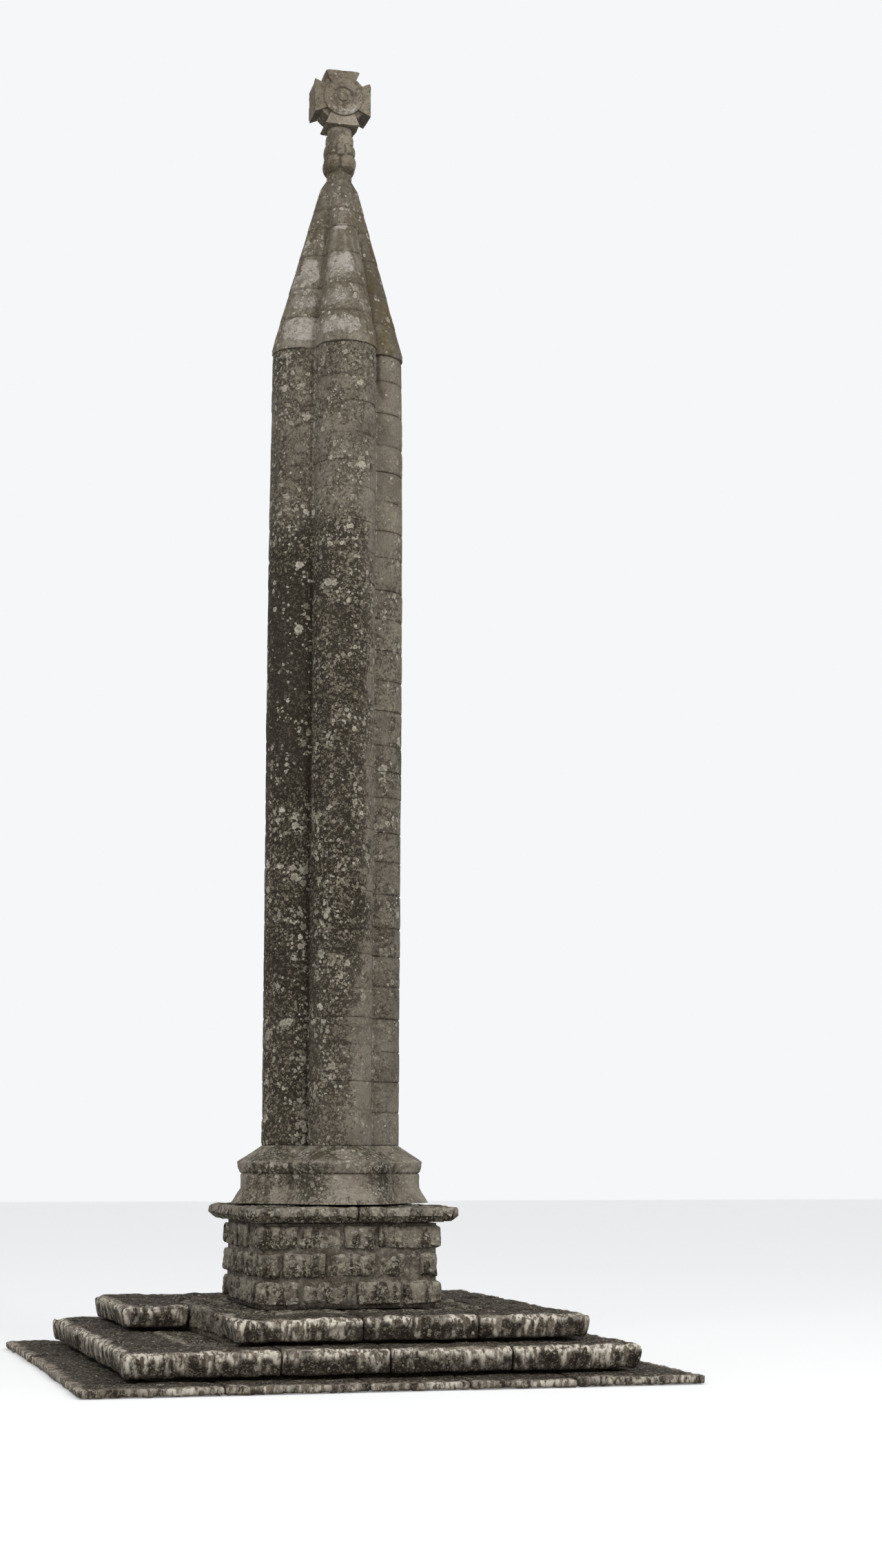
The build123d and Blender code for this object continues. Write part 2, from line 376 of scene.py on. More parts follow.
def roundLichens(w, place, film, free, speck, look, colour, height):
    # discs in three sizes gathered in clusters, laid over the colour and the height
    cluster = w.ease(w.noise(place, look["gather"], 3.0), 0.46, 0.60, look["gatherLeast"], 1.0)
    cover = w.times(w.times(w.plus(w.times(film, look["coverByFilm"]), look["cover"]), cluster), free)
    for n, (cell, part, strength, tall) in enumerate(look["rosettes"]):
        moved = w.stretch(place, (1.0, 1.0, 1.0), (0.37 * n, 0.11 * n, 0.53 * n))
        disc = w.use("rosettes", Vector=moved, Cell=cell, Cover=w.times(cover, part), Largest=0.50)
        tint = w.blend(disc["Shade"], look["lichenDark"], look["lichenPale"])
        body = w.plus(w.times(disc["Mask"], strength * look["discCentre"]),
                      w.times(disc["Rim"], strength * (1 - look["discCentre"])))
        body = w.times(body, w.ease(speck, 0.34, 0.50, 0.45, 1.0))
        colour = w.blend(body, colour, tint)
        height = w.plus(height, w.times(body, tall))
    return colour, height


def stoneMaterial(name, look):
    # bare stone, dark growth with painted shade on faces that point down, crust and flecks, small lichens,
    # moss, round lichens, worn edges, dark joints with painted shade, painted shade in a hole
    material = bpy.data.materials.new(name)
    material.use_nodes = True
    w = Wiring(material.node_tree)
    place = w.add("TexCoord")["Object"]
    upward = w.add("SeparateXYZ", {0: w.add("NewGeometry")["Normal"]})[2]
    mark = {key: w.add("Attribute", attribute_name=key)["Fac"] for key in markNames}
    free = w.math("MULTIPLY_ADD", mark["calm"], -0.7, 1.0)      # 1 where lichens grow freely, less where calm
    grain = w.use("grain", Vector=place, Fine=look["fine"], Pits=look["pits"])

    colour = bareStone(w, place, mark, grain, look)
    film, amount = growthAndUndersideShade(w, place, mark, upward, look)
    depth = w.times(w.plus(w.times(amount, 0.5), 0.5), look["filmDepth"])
    colour = w.blend(w.times(film, depth), colour, look["filmColour"])

    share = w.plus(w.times(film, look["crustByFilm"]), w.times(free, look["crust"]), True)
    crust = w.use("crust", Vector=place, Amount=share, Scale=look["crustScale"])
    dotted = w.times(w.plus(w.times(amount, 0.6), 0.4), look["flecks"])
    colour = w.blend(w.times(crust["Flecks"], dotted), colour, look["fleckColour"])
    colour = w.cover(colour, crust["Mask"], look, "crust")

    scales = w.use("scales", Vector=place, Cell=look["scaleCell"])
    thick = w.times(w.plus(w.times(film, look["scalesByFilm"]), look["scales"], True), free)
    small = w.times(scales["Mask"], thick)
    colour = w.blend(small, colour, w.blend(scales["Shade"], look["scaleDark"], look["scalePale"]))

    moss = w.times(w.ease(upward, 0.35, 0.85), w.ease(w.noise(place, 9.0, 5.0, 0.7), 0.48, 0.62))
    colour = w.cover(colour, moss, look, "moss")

    height = w.times(grain["Height"], look["roughHeight"])
    height = w.plus(height, w.times(crust["Mask"], look["crustHeight"]))
    height = w.plus(height, w.times(small, 0.5))
    colour, height = roundLichens(w, place, film, free, grain["Speck"], look, colour, height)

    thread = w.noise(w.stretch(place, look["wornStretch"]), 30.0)
    colour = w.cover(colour, w.times(mark["worn"], w.ease(thread, 0.44, 0.58)), look, "worn")
    broken = w.ease(w.noise(place, 14.0, 3.0), 0.40, 0.56, 0.22, 1.0)
    # dark joints, and painted shade in valleys, gaps and creases, by the joint mark
    seamAndShade = w.times(w.times(mark["joint"], broken), look["seamAndShadeDepth"], True)
    colour = w.blend(seamAndShade, colour, look["seamAndShadeColour"])
    # painted shade in the hole, by the spot mark
    colour = w.blend(w.times(mark["spot"], 0.85, True), colour, look["holeShadeColour"])

    bump = w.add("Bump", {"Strength": 1.0, "Distance": look["bump"], "Height": height})[0]
    rough = w.ease(grain["Speck"], 0.3, 0.7, 0.86, 0.97)
    shader = material.node_tree.nodes["Principled BSDF"].inputs
    for socket, value in (("Base Color", colour), ("Normal", bump), ("Roughness", rough)):
        w.tree.links.new(value, shader[socket])
    shader["Specular IOR Level"].default_value = 0.25
    return material


# rosettes: cell, share of the cover, strength and height of each size of lichen
plainLook = {
    "fine": 70.0, "pits": 0.5, "toneSpread": 0.14, "speck": 1.2,
    "stoneLight": paint(127, 119, 107), "stoneDark": paint(101, 93, 82),
    "streakWidth": 22.0, "streaks": 0.2, "streakDepth": 0.35, "streakColour": paint(84, 76, 64),
    "ochreDepth": 0.0, "ochreSide": (0.0, 1.0), "ochreColour": paint(124, 108, 74),
    "paleDepth": 0.85, "paleColour": paint(178, 172, 163),
    "film": 1.0, "filmDepth": 0.95, "filmColour": paint(30, 24, 15), "patch": 5.0, "underside": 0.6,
    "crust": 0.42, "crustByFilm": -0.10, "crustScale": 42.0, "crustDepth": 0.65, "crustHeight": 0.25,
    "crustColour": paint(146, 136, 118), "flecks": 0.8, "fleckColour": paint(62, 54, 42),
    "scaleCell": 0.027, "scales": 0.24, "scalesByFilm": 0.42,
    "scaleDark": paint(62, 54, 38), "scalePale": paint(162, 152, 132),
    "mossDepth": 0.3, "mossColour": paint(76, 74, 50),
    "cover": 0.18, "coverByFilm": 0.75, "gather": 5.0, "gatherLeast": 0.10,
    "rosettes": [(0.088, 0.55, 0.85, 0.5), (0.052, 0.9, 0.85, 0.4), (0.030, 1.1, 0.8, 0.3)],
    "discCentre": 0.45, "lichenPale": paint(206, 199, 182), "lichenDark": paint(126, 118, 100),
    "wornStretch": (1.0, 1.0, 1.0), "wornDepth": 0.6, "wornColour": paint(190, 182, 168),
    "seamAndShadeDepth": 0.7, "seamAndShadeColour": paint(62, 54, 43), "holeShadeColour": paint(30, 25, 19),
    "roughHeight": 0.8, "bump": 0.006,
}

# what each finish changes in the plain look
finishes = {
    "shaft": {"pits": 0.4},
    "cap": {
        "stoneLight": paint(140, 132, 120), "stoneDark": paint(112, 104, 90), "filmColour": paint(78, 70, 56),
        "filmDepth": 0.75, "crust": 0.30, "crustDepth": 0.4, "toneSpread": 0.10, "seamAndShadeDepth": 0.75,
        "streaks": 0.60, "streakDepth": 0.6, "streakColour": paint(78, 68, 50),
        "flecks": 0.6, "scales": 0.30, "scalesByFilm": 0.2,
        "ochreDepth": 1.0, "ochreSide": (0.08, 0.24), "ochreColour": paint(104, 88, 56),
        "paleColour": paint(174, 167, 158), "gatherLeast": 0.04},
    "base": {
        "stoneLight": paint(150, 141, 128), "stoneDark": paint(114, 105, 92), "patch": 9.0, "cover": 0.50,
        "crust": 0.48, "crustDepth": 0.75, "crustColour": paint(160, 151, 135),
        "gatherLeast": 0.25, "mossDepth": 0.55,
        "rosettes": [(0.075, 0.5, 0.8, 0.5), (0.042, 0.9, 0.85, 0.5), (0.024, 1.1, 0.8, 0.4)]},
    "step": {
        "stoneLight": paint(138, 126, 112), "stoneDark": paint(92, 81, 69), "patch": 7.0, "speck": 1.5,
        "filmColour": paint(34, 27, 22), "cover": 0.14, "coverByFilm": 0.1, "gatherLeast": 0.2,
        "mossDepth": 0.35, "mossColour": paint(60, 53, 42), "crust": 0.28, "scales": 0.25,
        "streaks": 0.55, "streakDepth": 0.7, "streakColour": paint(52, 44, 36), "streakWidth": 34.0,
        "wornStretch": (1.0, 1.0, 0.38), "wornDepth": 1.0, "wornColour": paint(222, 214, 198),
        "rosettes": [(0.060, 0.4, 0.7, 0.4), (0.034, 0.9, 0.8, 0.5), (0.020, 1.1, 0.8, 0.4)]},
    "rubble": {
        "stoneLight": paint(146, 137, 123), "stoneDark": paint(104, 95, 83), "patch": 8.0, "cover": 0.45,
        "crust": 0.5, "crustDepth": 0.8, "crustColour": paint(168, 159, 142), "gatherLeast": 0.2,
        "toneSpread": 0.30, "seamAndShadeColour": paint(46, 39, 31)},
    "carved": {
        "stoneLight": paint(152, 142, 127), "stoneDark": paint(116, 106, 92), "filmColour": paint(60, 53, 40),
        "filmDepth": 0.85, "underside": 1.0, "mossDepth": 0.75, "mossColour": paint(100, 96, 66),
        "patch": 14.0, "cover": 0.10, "coverByFilm": 0.12,
        "scaleCell": 0.016, "scales": 0.22, "scalesByFilm": 0.12,
        "crustScale": 60.0, "crust": 0.5, "crustByFilm": -0.25, "crustDepth": 0.4,
        "fine": 130.0, "bump": 0.004,
        "rosettes": [(0.046, 0.4, 0.6, 0.3), (0.026, 0.8, 0.6, 0.3), (0.014, 1.0, 0.5, 0.3)]},
}
materials = {name: stoneMaterial(name + "Limestone", {**plainLook, **changes})
             for name, changes in finishes.items()}
print("materials:", len(materials))


# The lobed plan: four circles round a square

plan = {"offset": 0.308, "radius": 0.250, "swell": 0.018, "taper": 0.020, "low": 1.720, "high": 8.250,
        "bunch": 0.2}
courseSet = {"near": np.array([0.0, 0.004, 0.009, 0.016, 0.026]), "clear": 0.038}


def planScale(z):
    # the shaft's plan grows by the swell times 4u^2(1-u^2) and shrinks by the taper times u^2
    u = unit((z - plan["low"]) / (plan["high"] - plan["low"]))
    return 1 + plan["swell"] * 4 * u * u * (1 - u * u) - plan["taper"] * u * u


def lobedGrid(z, scale, growth, perLobe):
    # at each height the outline is four arcs; columns lie evenly on an arc, closer near the valleys
    z, scale, growth = [np.asarray(v, float)[:, None] for v in (z, scale, growth)]
    radius, offset = plan["radius"] * scale + growth, plan["offset"] * scale
    widest = math.pi / 4 + np.arcsin(np.clip(offset / (radius * math.sqrt(2)), -1, 1))
    t = np.arange(perLobe) / perLobe * 2 - 1
    t = (1 + plan["bunch"]) * t - plan["bunch"] * t ** 3
    angle = widest * t[None, :]
    points, normals = [], []
    for lobe in range(4):
        c, s = math.cos(lobe * math.pi / 2), math.sin(lobe * math.pi / 2)
        ahead, aside = np.cos(angle), np.sin(angle)
        along, across = offset + radius * ahead, radius * aside
        points.append(np.stack([s * along + c * across, -c * along + s * across, z + 0 * angle], -1))
        normals.append(np.stack([s * ahead + c * aside, -c * ahead + s * aside, 0 * angle], -1))
    side = np.tile(t, 4)[None, :]                          # -1 to 1 across each lobe
    return np.concatenate(points, 1), np.concatenate(normals, 1), side


def courseHeights(joints, step):
    # rows close together at every joint, evenly spaced between them
    near, clear = courseSet["near"], courseSet["clear"]
    rows = []
    for low, high in zip(joints[:-1], joints[1:]):
        inner = np.linspace(low + clear, high - clear, max(2, int((high - low - 2 * clear) / step)))
        rows.append(np.concatenate([low + near, inner, high - near[:0:-1]]))
    return np.concatenate(rows + [[joints[-1]]])


def jointMask(z, joints, width):
    # a bell on each joint's height, as a column
    return bell(np.min(np.abs(np.asarray(z)[..., None] - np.asarray(joints)), -1), width)[:, None]


def courseOf(z, joints):
    # the number of the course that each height lies in
    return np.clip(np.searchsorted(joints, z, side="right") - 1, 0, len(joints) - 2)


def blockTone(z, joints, cols, seed):
    # one random number for each course of each lobe
    dice = np.random.default_rng(seed).uniform(0, 1, (len(joints) - 1, 4))
    return dice[courseOf(z, joints)][:, np.repeat(np.arange(4), cols // 4)]


# Shaft

# here and in the next pieces a noise is its amount, cell and seed, then its layers, or for chips and flakes
# the values where they start and are whole; pairs are heights and values
shaftSet = {"perLobe": 60, "step": 0.0165, "joint": 0.005, "arris": 0.003, "proud": 0.004, "slope": 0.040,
            "wave": 0.004, "valley": 0.006, "fill": 0.030, "slit": 0.030, "leftSeam": 0.008,
            "chips": (0.009, 0.10, 3, 0.15, 0.65), "flakes": (0.0035, 0.030, 31, 0.30, 0.8),
            "skin": (0.004, 0.16, 21, 4), "edgeWaves": (0.10, 0.4, 33, 4), "uneven": (0.25, 0.7, 34, 2),
            "film": [(1.72, 0.68), (3.20, 0.93), (3.90, 1.00), (5.80, 1.00), (6.40, 0.93), (6.66, 0.86),
                     (6.84, 0.46), (7.60, 0.44), (8.25, 0.58)],
            "edge": [(2.7, 0.02), (3.5, 0.13), (7.0, 0.13), (7.75, 0.26)],
            "calm": [(2.7, 0), (3.6, 0.9), (6.1, 0.9), (6.9, 0)],
            "least": [(6.3, 0.40), (7.0, 0.26)], "leastRight": [(6.3, 0.06), (7.0, 0.0)],
            "thinner": [(2.6, 0.14), (3.3, 0.0)], "leftValleyShade": [(6.4, 0.30), (7.2, 0.0)]}
hole = {"place": (0.183, -0.478, 7.20), "wide": 0.018, "tall": 0.032, "deep": 0.045}
chip = {"place": (-0.222, -0.414, 8.14), "wide": 0.022, "tall": 0.048, "deep": 0.006}
toRight, toLeft = np.array([0.7071, -0.7071, 0.0]), np.array([-0.7071, -0.7071, 0.0])  # out of two valleys


def spotMask(points, spot):
    # a bell round a place, round across and longer or shorter in height
    away = points - np.array(spot["place"])
    return bell(np.hypot(away[..., 0], away[..., 1]), spot["wide"]) * bell(away[..., 2], spot["tall"])


def rightLobe(points):
    # 1 on the half column at the right, 0 on the others
    return ease(points[..., 0] - np.abs(points[..., 1]), -0.02, 0.03)


def shaftFilmAndValleyShade(points, valley):
    # dark growth by height, ending on the right of the shaft at a wandering line, with painted shade added
    # deep in the valleys on the left
    s = shaftSet
    x, z = points[..., 0], points[..., 2]
    edge = byHeight(z, s["edge"]) + waves(points, *s["edgeWaves"]) + 0.05 * softNoise(points, 0.06, 36)
    onRight = rightLobe(points)
    least = byHeight(z, s["least"]) + byHeight(z, s["leastRight"]) * onRight
    inside = least + (1 - least) * (1 - ease(x, edge - 0.09, edge + 0.10)) * (1 - onRight)
    inside = inside * (1 + 0.16 * (x < -np.abs(points[..., 1])))
    onLeft = ease(-x - np.abs(points[..., 1]), -0.04, 0.04)
    amount = byHeight(z, s["film"]) - byHeight(z, s["thinner"]) * (1 - onLeft)
    # painted shade in the valleys on the left
    deep = byHeight(z, s["leftValleyShade"]) * valley * (x < 0)
    return unit(inside * amount * (1 + waves(points, *s["uneven"])) + deep)


def valleyWork(z, cols):
    # mortar in the right valley up to its open end and in the left one from above the dark zone, as bells
    # over the columns; beside the right one an open slit bends as it starts
    s = shaftSet
    column = np.arange(cols)[None, :]
    z = z[:, None] + 0 * column
    fromRight = column - s["perLobe"]
    fromLeft = (column + 0.5 + cols / 2) % cols - cols / 2
    rightFill = s["fill"] * (1 - ease(z, 7.80, 7.92)) * bell(fromRight + 0.5, 3.5)
    topped = ease(z, 6.0, 6.8)
    leftFill = 1.8 * s["fill"] * topped * bell(fromLeft, 4.0)
    slit = ease(z, 7.82, 7.90) * bell(fromRight - 8.5 + 4 * ease(z, 7.84, 7.98), 1.3)
    return rightFill, leftFill, slit, topped * bell(fromLeft, 0.8)


def weatheredShaft(z0, z1, seed):
    # lobed grid pulled in along its normals by joints, chipped edges, skin noise and the valleys
    s = shaftSet
    joints = np.array([z0, (z0 + z1) / 2, z1])
    z = courseHeights(joints, s["step"])
    points, normals, side = lobedGrid(z, planScale(z), 0 * z, s["perLobe"])
    cols = points.shape[1]
    tone = blockTone(z, joints, cols, seed)
    line, near = jointMask(z, joints, 0.0045), jointMask(z, joints, 0.020)
    valley, broadValley = bell(1 - np.abs(side), 0.030), bell(1 - np.abs(side), 0.16)      # 1 in the valleys
    onRight = rightLobe(points)
    rightFill, leftFill, slit, leftSeam = valleyWork(z, cols)
    # the hole is pulled in, and painted with shade by the spot mark
    hollow, flake = spotMask(points, hole), ease(spotMask(points, chip), 0.3, 0.5)
    pull = s["joint"] * line * (0.7 + 0.3 * softNoise(points, 0.07, 11)) * (1 + 0.8 * onRight)
    pull = pull + s["arris"] * near * shareNoise(points, 0.05, 12)
    pull = pull + near * humps(points, *s["chips"]) + (tone - 0.5) * s["proud"] * (1 - near)
    pull = pull + waves(points, *s["skin"]) + humps(points, *s["flakes"])
    pull = pull + s["valley"] * valley + s["slit"] * slit + hole["deep"] * hollow + chip["deep"] * flake
    slopes = np.random.default_rng(seed).uniform(-s["slope"], s["slope"], 4)
    shift = slopes[np.repeat(np.arange(4), cols // 4)][None, :]
    lean = 1 - np.abs(z - joints[1])[:, None] / (joints[1] - z0)        # 1 at the middle joint, 0 at the ends
    points = points - normals * pull[..., None]
    points = points + rightFill[..., None] * toRight + leftFill[..., None] * toLeft
    wave = s["wave"] * softNoise(points, 0.3, 5) * unit(lean * 4)
    points[..., 2] += shift * unit(lean) + wave
    film = shaftFilmAndValleyShade(points, broadValley)
    points = points - (s["leftSeam"] * leftSeam)[..., None] * toLeft
    bare = 1 - unit((rightFill + leftFill) / s["fill"])        # 0 where mortar covers the valley
    # dark joints, and painted shade in the valleys, in the open slit and along the left valley's groove
    seamAndShade = bare * (line * (0.75 - 0.45 * film) + 0.32 * near * onRight + valley * (0.15 + 0.5 * film))
    seamAndShade = np.maximum(unit(seamAndShade + 0.9 * slit), 0.75 * leftSeam)
    calm = byHeight(points[..., 2], s["calm"]) * ease(layeredNoise(points, 0.6, 35, 3), -0.5, 0.1)
    strip = 0.52 * bell(side + 0.93, 0.035) * (points[..., 1] < -0.2)       # lighter edge by the left valley
    return closedSheet(points, {
        "tone": tone, "joint": seamAndShade, "spot": unit(hollow * 1.4), "film": film,
        "calm": (points[..., 0] < -np.abs(points[..., 1])) * calm, "pale": unit(flake + strip)})


shaftNodes = sorted(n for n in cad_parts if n.startswith("shaft_courses"))
for count, node in enumerate(shaftNodes):
    low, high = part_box(node)
    part = weatheredShaft(low.z, high.z, 100 + count)
    makePiece("shaftStones_%02d" % (count + 1), [part], materials["shaft"], "shaft_stone", node)


# Lobed base

baseSet = {"levels": [1.270, 1.385, 1.500, 1.590, 1.720], "growth": [0.240, 0.170, 0.170, 0.200, 0.0],
           "perLobe": 70, "step": 0.012, "joint": 0.010, "valley": 0.012, "upright": 0.008, "inset": 0.0054,
           "chips": (0.020, 0.11, 44, -0.1, 0.6), "flakes": (0.006, 0.028, 45, 0.2, 0.8),
           "skin": (0.009, 0.12, 41, 4), "film": (0.7, 0.3, 46, 4)}


def weatheredBase():
    # growths of the lobes carried up the levels in straight runs, corners rounded by the noise
    s = baseSet
    foot, bend, joint, nose, top = s["levels"]
    joints = np.array([foot, joint, top])
    extra = [level + d for level in (bend, nose) for d in (-0.007, 0, 0.007)]       # rows beside each corner
    z = np.unique(np.round(np.concatenate([courseHeights(joints, s["step"]), extra]), 4))
    points, normals, side = lobedGrid(z, 0 * z + 1, np.interp(z, s["levels"], s["growth"]), s["perLobe"])
    tone = blockTone(z, joints, points.shape[1], 5)
    line = jointMask(z, [joint], 0.007)
    valley = bell(1 - np.abs(side), 0.03)
    upright = bell(side - 0.12 * np.sign(tone - 0.5), 0.014) * (tone > 0.35)
    onNose = jointMask(z, [nose], 0.020)
    pull = s["inset"] + s["joint"] * line + s["valley"] * valley + s["upright"] * upright
    pull = pull + waves(points, *s["skin"]) + humps(points, *s["flakes"])
    pull = pull + onNose * humps(points, *s["chips"])
    inner = ease(z, foot, foot + 0.03)[:, None] * ease(-z, -top, -top + 0.02)[:, None]      # 0 at both seats
    points = points - normals * (pull * (0.35 + 0.65 * inner))[..., None]
    film = unit(0.40 + waves(points, *s["film"]))
    # dark joints, and painted shade in the valleys
    seamAndShade = unit(0.8 * line + 0.7 * valley + 0.7 * upright)
    return closedSheet(points, {"tone": tone, "joint": seamAndShade, "worn": onNose * 0.35, "film": film})


makePiece("lobedBase", [weatheredBase()], materials["base"], "base_stone", "base_foot", "base_slope")


# Cap, shoulder and neck

capSet = {"lip": 0.045, "overhang": 0.014, "joints": [8.530, 8.790, 9.090, 9.340, 9.520],
          "neck": [(9.720, 0.30), (9.800, 0.215), (9.850, 0.19)],       # scale at top, shoulder and neck
          "neckRadius": 0.104, "perLobe": 56, "step": 0.014, "joint": 0.005, "valley": 0.006, "inset": 0.004,
          "chips": (0.006, 0.09, 52, -0.1, 0.7), "lipChips": (0.012, 0.08, 55, 0.35, 0.8),
          "flakes": (0.003, 0.03, 54, 0.3, 0.8), "skin": (0.006, 0.14, 53, 4), "film": (0.5, 0.35, 58, 3),
          "full": [(8.90, 0.60), (9.40, 0.68), (9.72, 0.84)], "sharp": 60.0,
          "likely": [0.50, 0.46, 0.46, 0.40, 0.26, 0.10, 0.0]}      # pale stone by course, from the lip up
palePatches = [  # place, width, height and strength of each
    ((-0.300, -0.175, 8.97), 0.11, 0.12, 0.78), ((-0.345, -0.120, 8.84), 0.12, 0.11, 0.74),
    ((-0.335, -0.190, 8.67), 0.14, 0.07, 0.68), ((-0.355, -0.200, 8.42), 0.19, 0.11, 0.84),
    ((-0.071, -0.371, 8.95), 0.16, 0.14, 0.64), ((-0.120, -0.430, 8.67), 0.14, 0.09, 0.76),
    ((-0.086, -0.525, 8.41), 0.23, 0.10, 0.68), ((-0.051, -0.264, 9.33), 0.08, 0.04, 0.72)]


def fullValleys(points, z):
    # the valleys fill up towards the top: the distance out is at least a share of the widest, softly joined
    sharp = capSet["sharp"]
    spread = np.hypot(points[..., 0], points[..., 1])
    widest = spread.max(1)[:, None]
    least = widest * byHeight(z, capSet["full"])[:, None]
    soft = math.log(2) / sharp * np.exp(-sharp * np.abs(spread - least))
    fuller = np.minimum(np.logaddexp(sharp * spread, sharp * least) / sharp - soft, widest)
    points[..., :2] *= (fuller / spread)[..., None]
    return fuller


def palePatchMask(points, within, course):
    # in front, flat bells at their places; elsewhere, layered noise raised by how likely the course is
    likely = np.array(capSet["likely"])[course][:, None]
    unseen = ease(points[..., 1], -0.05, 0.12)
    placed = np.zeros(points.shape[:2])
    for place, wide, tall, strength in palePatches:
        away = points - np.array(place)
        across = np.hypot(away[..., 0], away[..., 1])
        placed = np.maximum(placed, strength * np.exp(-(across / wide) ** 4 - (away[..., 2] / tall) ** 4))
    free = likely + 0.95 * layeredNoise(points, 0.22, 157, 4) + 0.16 * (within - 0.45)
    return unseen * free + (1 - unseen) * (0.06 + placed + 0.30 * layeredNoise(points, 0.12, 158, 3))


def weatheredCap():
    # the lobed cone; each course stands a little proud of the one below, and the plan turns round at the neck
    s = capSet
    foot = plan["high"] + s["lip"]
    (top, topScale), (shoulder, _), (neckTop, _) = s["neck"]
    joints = np.array([plan["high"]] + s["joints"] + [top, neckTop])
    extra = [foot - 0.008, foot, foot + 0.008] + [shoulder + d for d in (-0.010, 0, 0.005, 0.012, 0.020)]
    z = np.unique(np.round(np.concatenate([courseHeights(joints, s["step"]), extra]), 4))
    u = unit((z - foot) / (top - foot))
    cone = planScale(np.array([plan["high"]]))[0] * (1 - u) + topScale * u
    scale = np.where(z > top, byHeight(z, s["neck"]), cone)
    points, normals, side = lobedGrid(z, scale, s["overhang"] * (1 - u), s["perLobe"])
    course = courseOf(z, joints)
    within = ((z - joints[course]) / (joints[course + 1] - joints[course]))[:, None]      # 0 to 1 up a course
    tone = blockTone(z, joints, points.shape[1], 8)
    line, near = jointMask(z, joints[1:-1], 0.0045), jointMask(z, joints[1:-1], 0.024)
    valley = bell(1 - np.abs(side), 0.05)
    size = np.clip(scale, 0.3, 1)[:, None]
    onCone, onLip = (z < top)[:, None], (z < foot)[:, None]
    pull = 0.002 * within * onCone + s["joint"] * line * (0.8 + 0.4 * softNoise(points, 0.06, 51))
    pull = pull + size * (waves(points, *s["skin"]) + s["inset"] + s["valley"] * valley)
    pull = pull + near * humps(points, *s["chips"]) + humps(points, *s["flakes"])
    pull = pull + onLip * humps(points, *s["lipChips"])
    points = points - normals * pull[..., None]
    spread = fullValleys(points, z)
    outward = np.stack([points[..., 0] / spread, points[..., 1] / spread, 0 * spread], -1)
    neckGrid = outward * s["neckRadius"]
    neckGrid[..., 2] = points[..., 2]
    neckGrid = neckGrid - outward * 0.003 * softNoise(points, 0.05, 56)[..., None]
    blend = ease(z, shoulder, shoulder + 0.020)[:, None]
    points = points * (1 - blend[..., None]) + neckGrid * blend[..., None]
    slope = (z[:, None] > foot) * (z[:, None] < top - 0.25)
    leftAndFront = 1 - ease(points[..., 0] + 0.12 * layeredNoise(points, 0.15, 59, 3), 0.04, 0.24)
    film = 0.42 + waves(points, *s["film"]) + 0.3 * (1 - within) * near
    # more dark film on the right; darker towards the neck: painted shade under the knop, with dark film
    film = film + 0.25 * ease(points[..., 0], 0.12, 0.25) + 0.3 * ease(z, 9.55, 9.75)[:, None]
    # a painted shadow under the lip's overhang; below, dark joints with painted shade in the valleys
    lipShade = jointMask(z, [plan["high"]], 0.006)
    seamAndShade = 0.8 * line * (z < top - 0.05)[:, None] + 0.45 * valley * (1 - blend) + lipShade
    return closedSheet(points, {
        "tone": tone, "joint": unit(seamAndShade), "film": unit(film),
        "calm": ease(points[..., 0], 0.10, 0.22) * onCone,
        "pale": unit(palePatchMask(points, within, course)) * slope * leftAndFront})


capNodes = sorted(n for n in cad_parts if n.startswith("cap_"))
makePiece("lobedCap", [weatheredCap()], materials["cap"], "cap_stone", *capNodes)


# Knop

knopSet = {"turn": -8.0, "low": 9.850, "high": 10.274, "stem": 0.108, "sharp": 160.0,
           "tiers": [  # count, first turn, middle height, half height, reach, lobe radius
               (4, 45.0, 9.955, 0.092, 0.162, 0.086),
               (10, 0.0, 10.065, 0.066, 0.141, 0.043)],
           "ring": (10.165, 0.051, 0.124),       # middle height, half height, radius
           "cols": 220, "rows": 120, "inset": 0.0025, "skin": (0.0025, 0.06, 61, 4),
           "flakes": (0.0025, 0.02, 62, 0.2, 0.8), "film": (0.4, 0.09, 63, 3)}


def roundShare(z, middle, half):
    # a half circle over the height: 1 at the middle, 0 at half a height away
    return np.sqrt(unit(1 - ((z - middle) / half) ** 2))


